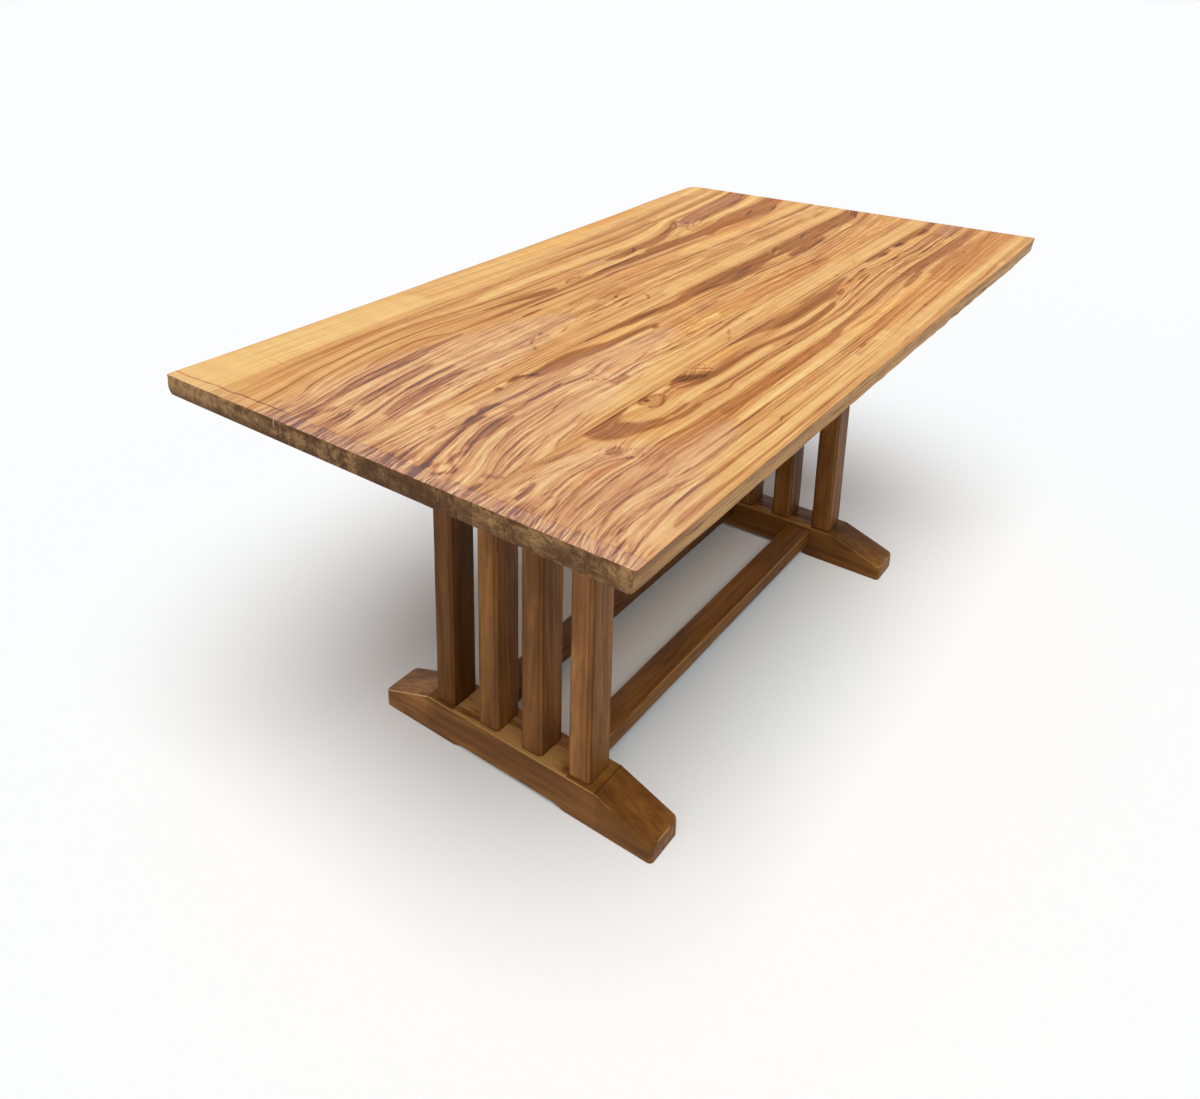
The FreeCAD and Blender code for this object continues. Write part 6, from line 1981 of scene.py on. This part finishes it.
class Trestles:
    """Both trestles and the stretchers between them."""

    # Tones of each piece: partly the wood's own tone, partly painted shade and light, such as the darker
    # first near post, the lit front of the fourth post and the darker far foot.
    post_tones_and_shading = {"near": ((-0.40, -0.55), (0.0, 0.0), (-0.02, -0.02), (0.42, -0.08)),
                  "far": ((-0.3, -0.3), (-0.1, -0.1), (-0.2, -0.2), (-0.22, -0.22))}
    foot_tones_and_shading = {"near": (-0.52, -0.46, -0.12, -0.12, 0.55), "far": (-0.62, -0.6, -0.4, -0.4, 0.1)}

    def build(self) -> None:
        """Make and dress every piece of the base."""
        upright, across, along = (stained(axis).build()
                                  for axis in (GrainAxis.UP, GrainAxis.ACROSS, GrainAxis.ALONG))
        for trestle, outward, seed in (("near", -1.0, 1.0), ("far", 1.0, 5.0)):
            foot_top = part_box(f"{trestle}_foot")[1].z
            bearer_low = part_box(f"{trestle}_bearer")[0].z
            Foot(f"{trestle}_foot", outward, seed, self.foot_tones_and_shading[trestle]).build(across)
            for number, tones in enumerate(self.post_tones_and_shading[trestle], 1):
                Post(f"{trestle}_post_{number}", foot_top, bearer_low, seed + 0.37 * number,
                     *tones).build(upright)
        near_end, far_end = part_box("near_foot")[1].x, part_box("far_foot")[0].x
        for side, seed in (("left", 2.0), ("right", 8.0)):
            Stretcher(f"{side}_stretcher", near_end, far_end, seed).build(along)


class Hardware:
    """Bearers, tongues, screws and washers: the solids are right as they are, and get finishes."""

    bearer = PlainGrainFinish("stained_bearer", GrainAxis.ACROSS, *STAINED, STAINED[0])
    plywood = PlainGrainFinish("tongue_plywood", GrainAxis.ACROSS, srgb(226, 196, 150),
                               srgb(206, 172, 122), srgb(170, 134, 88), srgb(226, 196, 150), 0.6)

    def build(self) -> None:
        """Dress the solids that stay."""
        dressing = {("_bearer",): self.bearer, ("_tongues",): self.plywood,
                    ("_screws", "_washers"): ZincFinish()}
        for endings, finish in dressing.items():
            material = finish.build()
            for name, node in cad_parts.items():
                if name.endswith(endings):
                    Bench.dress(node, [material])


# ---------------------------------------------------------------- studio

@dataclass
class Studio:
    """Pale floor, soft light from above, and the camera."""

    floor_half: float = 30.0
    camera_at: Triple = (-1.69876, -0.93813, 1.40427)
    camera_turn: Triple = (72.8447, 0.3619, -50.7910)
    lens: float = 31.1004
    shift: Pair = (0.08456, -0.23480)
    sun_strength: float = 2.85
    sun_width: float = 46.0
    sun_way: Triple = (0.34, 0.33, -1.0)
    fill_strength: float = 0.50
    fill_width: float = 70.0
    fill_way: Triple = (1.0, 0.0, -0.28)
    sky: float = 0.15
    floor_paint: Colour = (0.93, 0.945, 0.955, 1.0)
    floor_glow: float = 0.02
    # Cooler, darker paint under the table: painted shade.
    shade_tint: Colour = (0.84, 0.93, 0.955, 1.0)
    shade_reach: Pair = (0.20, 0.85)
    shade_squeeze: float = 2.2
    background: Colour = srgb(249, 249, 249)
    white: Colour = (1.0, 1.0, 1.0, 1.0)

    def build(self) -> None:
        """Set up floor, light and camera."""
        self.floor()
        self.light()
        self.camera()
        bpy.context.scene.view_settings.view_transform = "Standard"

    @staticmethod
    def seen(desk: NodeDesk) -> Socket:
        """1 for rays from the camera, and for those that mirrors and glass send on."""
        path = desk.node("ShaderNodeLightPath").outputs
        return desk.maths("ADD", desk.plus(path["Is Camera Ray"], path["Is Glossy Ray"]),
                          path["Is Transmission Ray"], clamp=True)

    def floor(self) -> None:
        """Pale floor that keeps the table's shadow, painted cooler and darker under the table as painted
        shade.
        """
        Bench.clear()
        bpy.ops.mesh.primitive_plane_add(size=2 * self.floor_half)
        piece = bpy.context.object
        piece.name = "studio_floor"
        material = bpy.data.materials.new("studio_floor")
        material.use_nodes = True
        desk = NodeDesk(material.node_tree)
        x, y, _ = desk.split(desk.place())
        # Blend to the painted shade colour in an oval under the table.
        away = desk.maths("SQRT", desk.weigh(desk.times(x, x), (desk.times(y, y), self.shade_squeeze)))
        paint = desk.mix(desk.spread(away, *self.shade_reach, 1.0, 0.0), self.floor_paint, self.shade_tint)
        matt = desk.fill(desk.node("ShaderNodeBsdfDiffuse"), {"Color": paint})
        glow = desk.fill(desk.node("ShaderNodeEmission"), {
            "Color": self.white, "Strength": desk.times(self.seen(desk), self.floor_glow)})
        both = desk.fill(desk.node("ShaderNodeAddShader"), {0: matt.outputs[0], 1: glow.outputs[0]})
        desk.fill(desk.node("ShaderNodeOutputMaterial"), {0: both.outputs[0]})
        piece.data.materials.append(material)

    def light(self) -> None:
        """A wide, soft lamp overhead, a weak one from the near end, and an even sky."""
        for name, way, strength, width in (
                ("overhead_softbox", self.sun_way, self.sun_strength, self.sun_width),
                ("near_end_fill", self.fill_way, self.fill_strength, self.fill_width)):
            lamp = bpy.data.lights.new(name, "SUN")
            lamp.energy, lamp.angle = strength, math.radians(width)
            holder = bpy.data.objects.new(name, lamp)
            holder.rotation_euler = Vector(way).to_track_quat("-Z", "Y").to_euler()
            bpy.context.scene.collection.objects.link(holder)
        world = bpy.data.worlds.new("studio_sky")
        bpy.context.scene.world = world
        world.use_nodes = True
        desk = NodeDesk(world.node_tree)
        sky = desk.fill(desk.node("ShaderNodeBackground"), {"Color": self.white, "Strength": self.sky})
        backdrop = desk.fill(desk.node("ShaderNodeBackground"), {"Color": self.background})
        choice = desk.fill(desk.node("ShaderNodeMixShader"), {
            0: self.seen(desk), 1: sky.outputs[0], 2: backdrop.outputs[0]})
        desk.fill(desk.node("ShaderNodeOutputWorld"), {0: choice.outputs[0]})

    def camera(self) -> None:
        """Camera at the table's near right, looking down along it."""
        data = bpy.data.cameras.new("camera")
        data.lens = self.lens
        data.shift_x, data.shift_y = self.shift
        holder = bpy.data.objects.new("camera", data)
        holder.location = self.camera_at
        holder.rotation_euler = [math.radians(turn) for turn in self.camera_turn]
        bpy.context.scene.collection.objects.link(holder)
        bpy.context.scene.camera = holder


def main() -> None:
    """Build the table and the studio, in order."""
    logging.basicConfig(level=logging.INFO, format="%(name)s %(message)s")
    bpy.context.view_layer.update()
    TableTop().build()
    Trestles().build()
    Hardware().build()
    Studio().build()


if __name__ == "__main__":
    main()
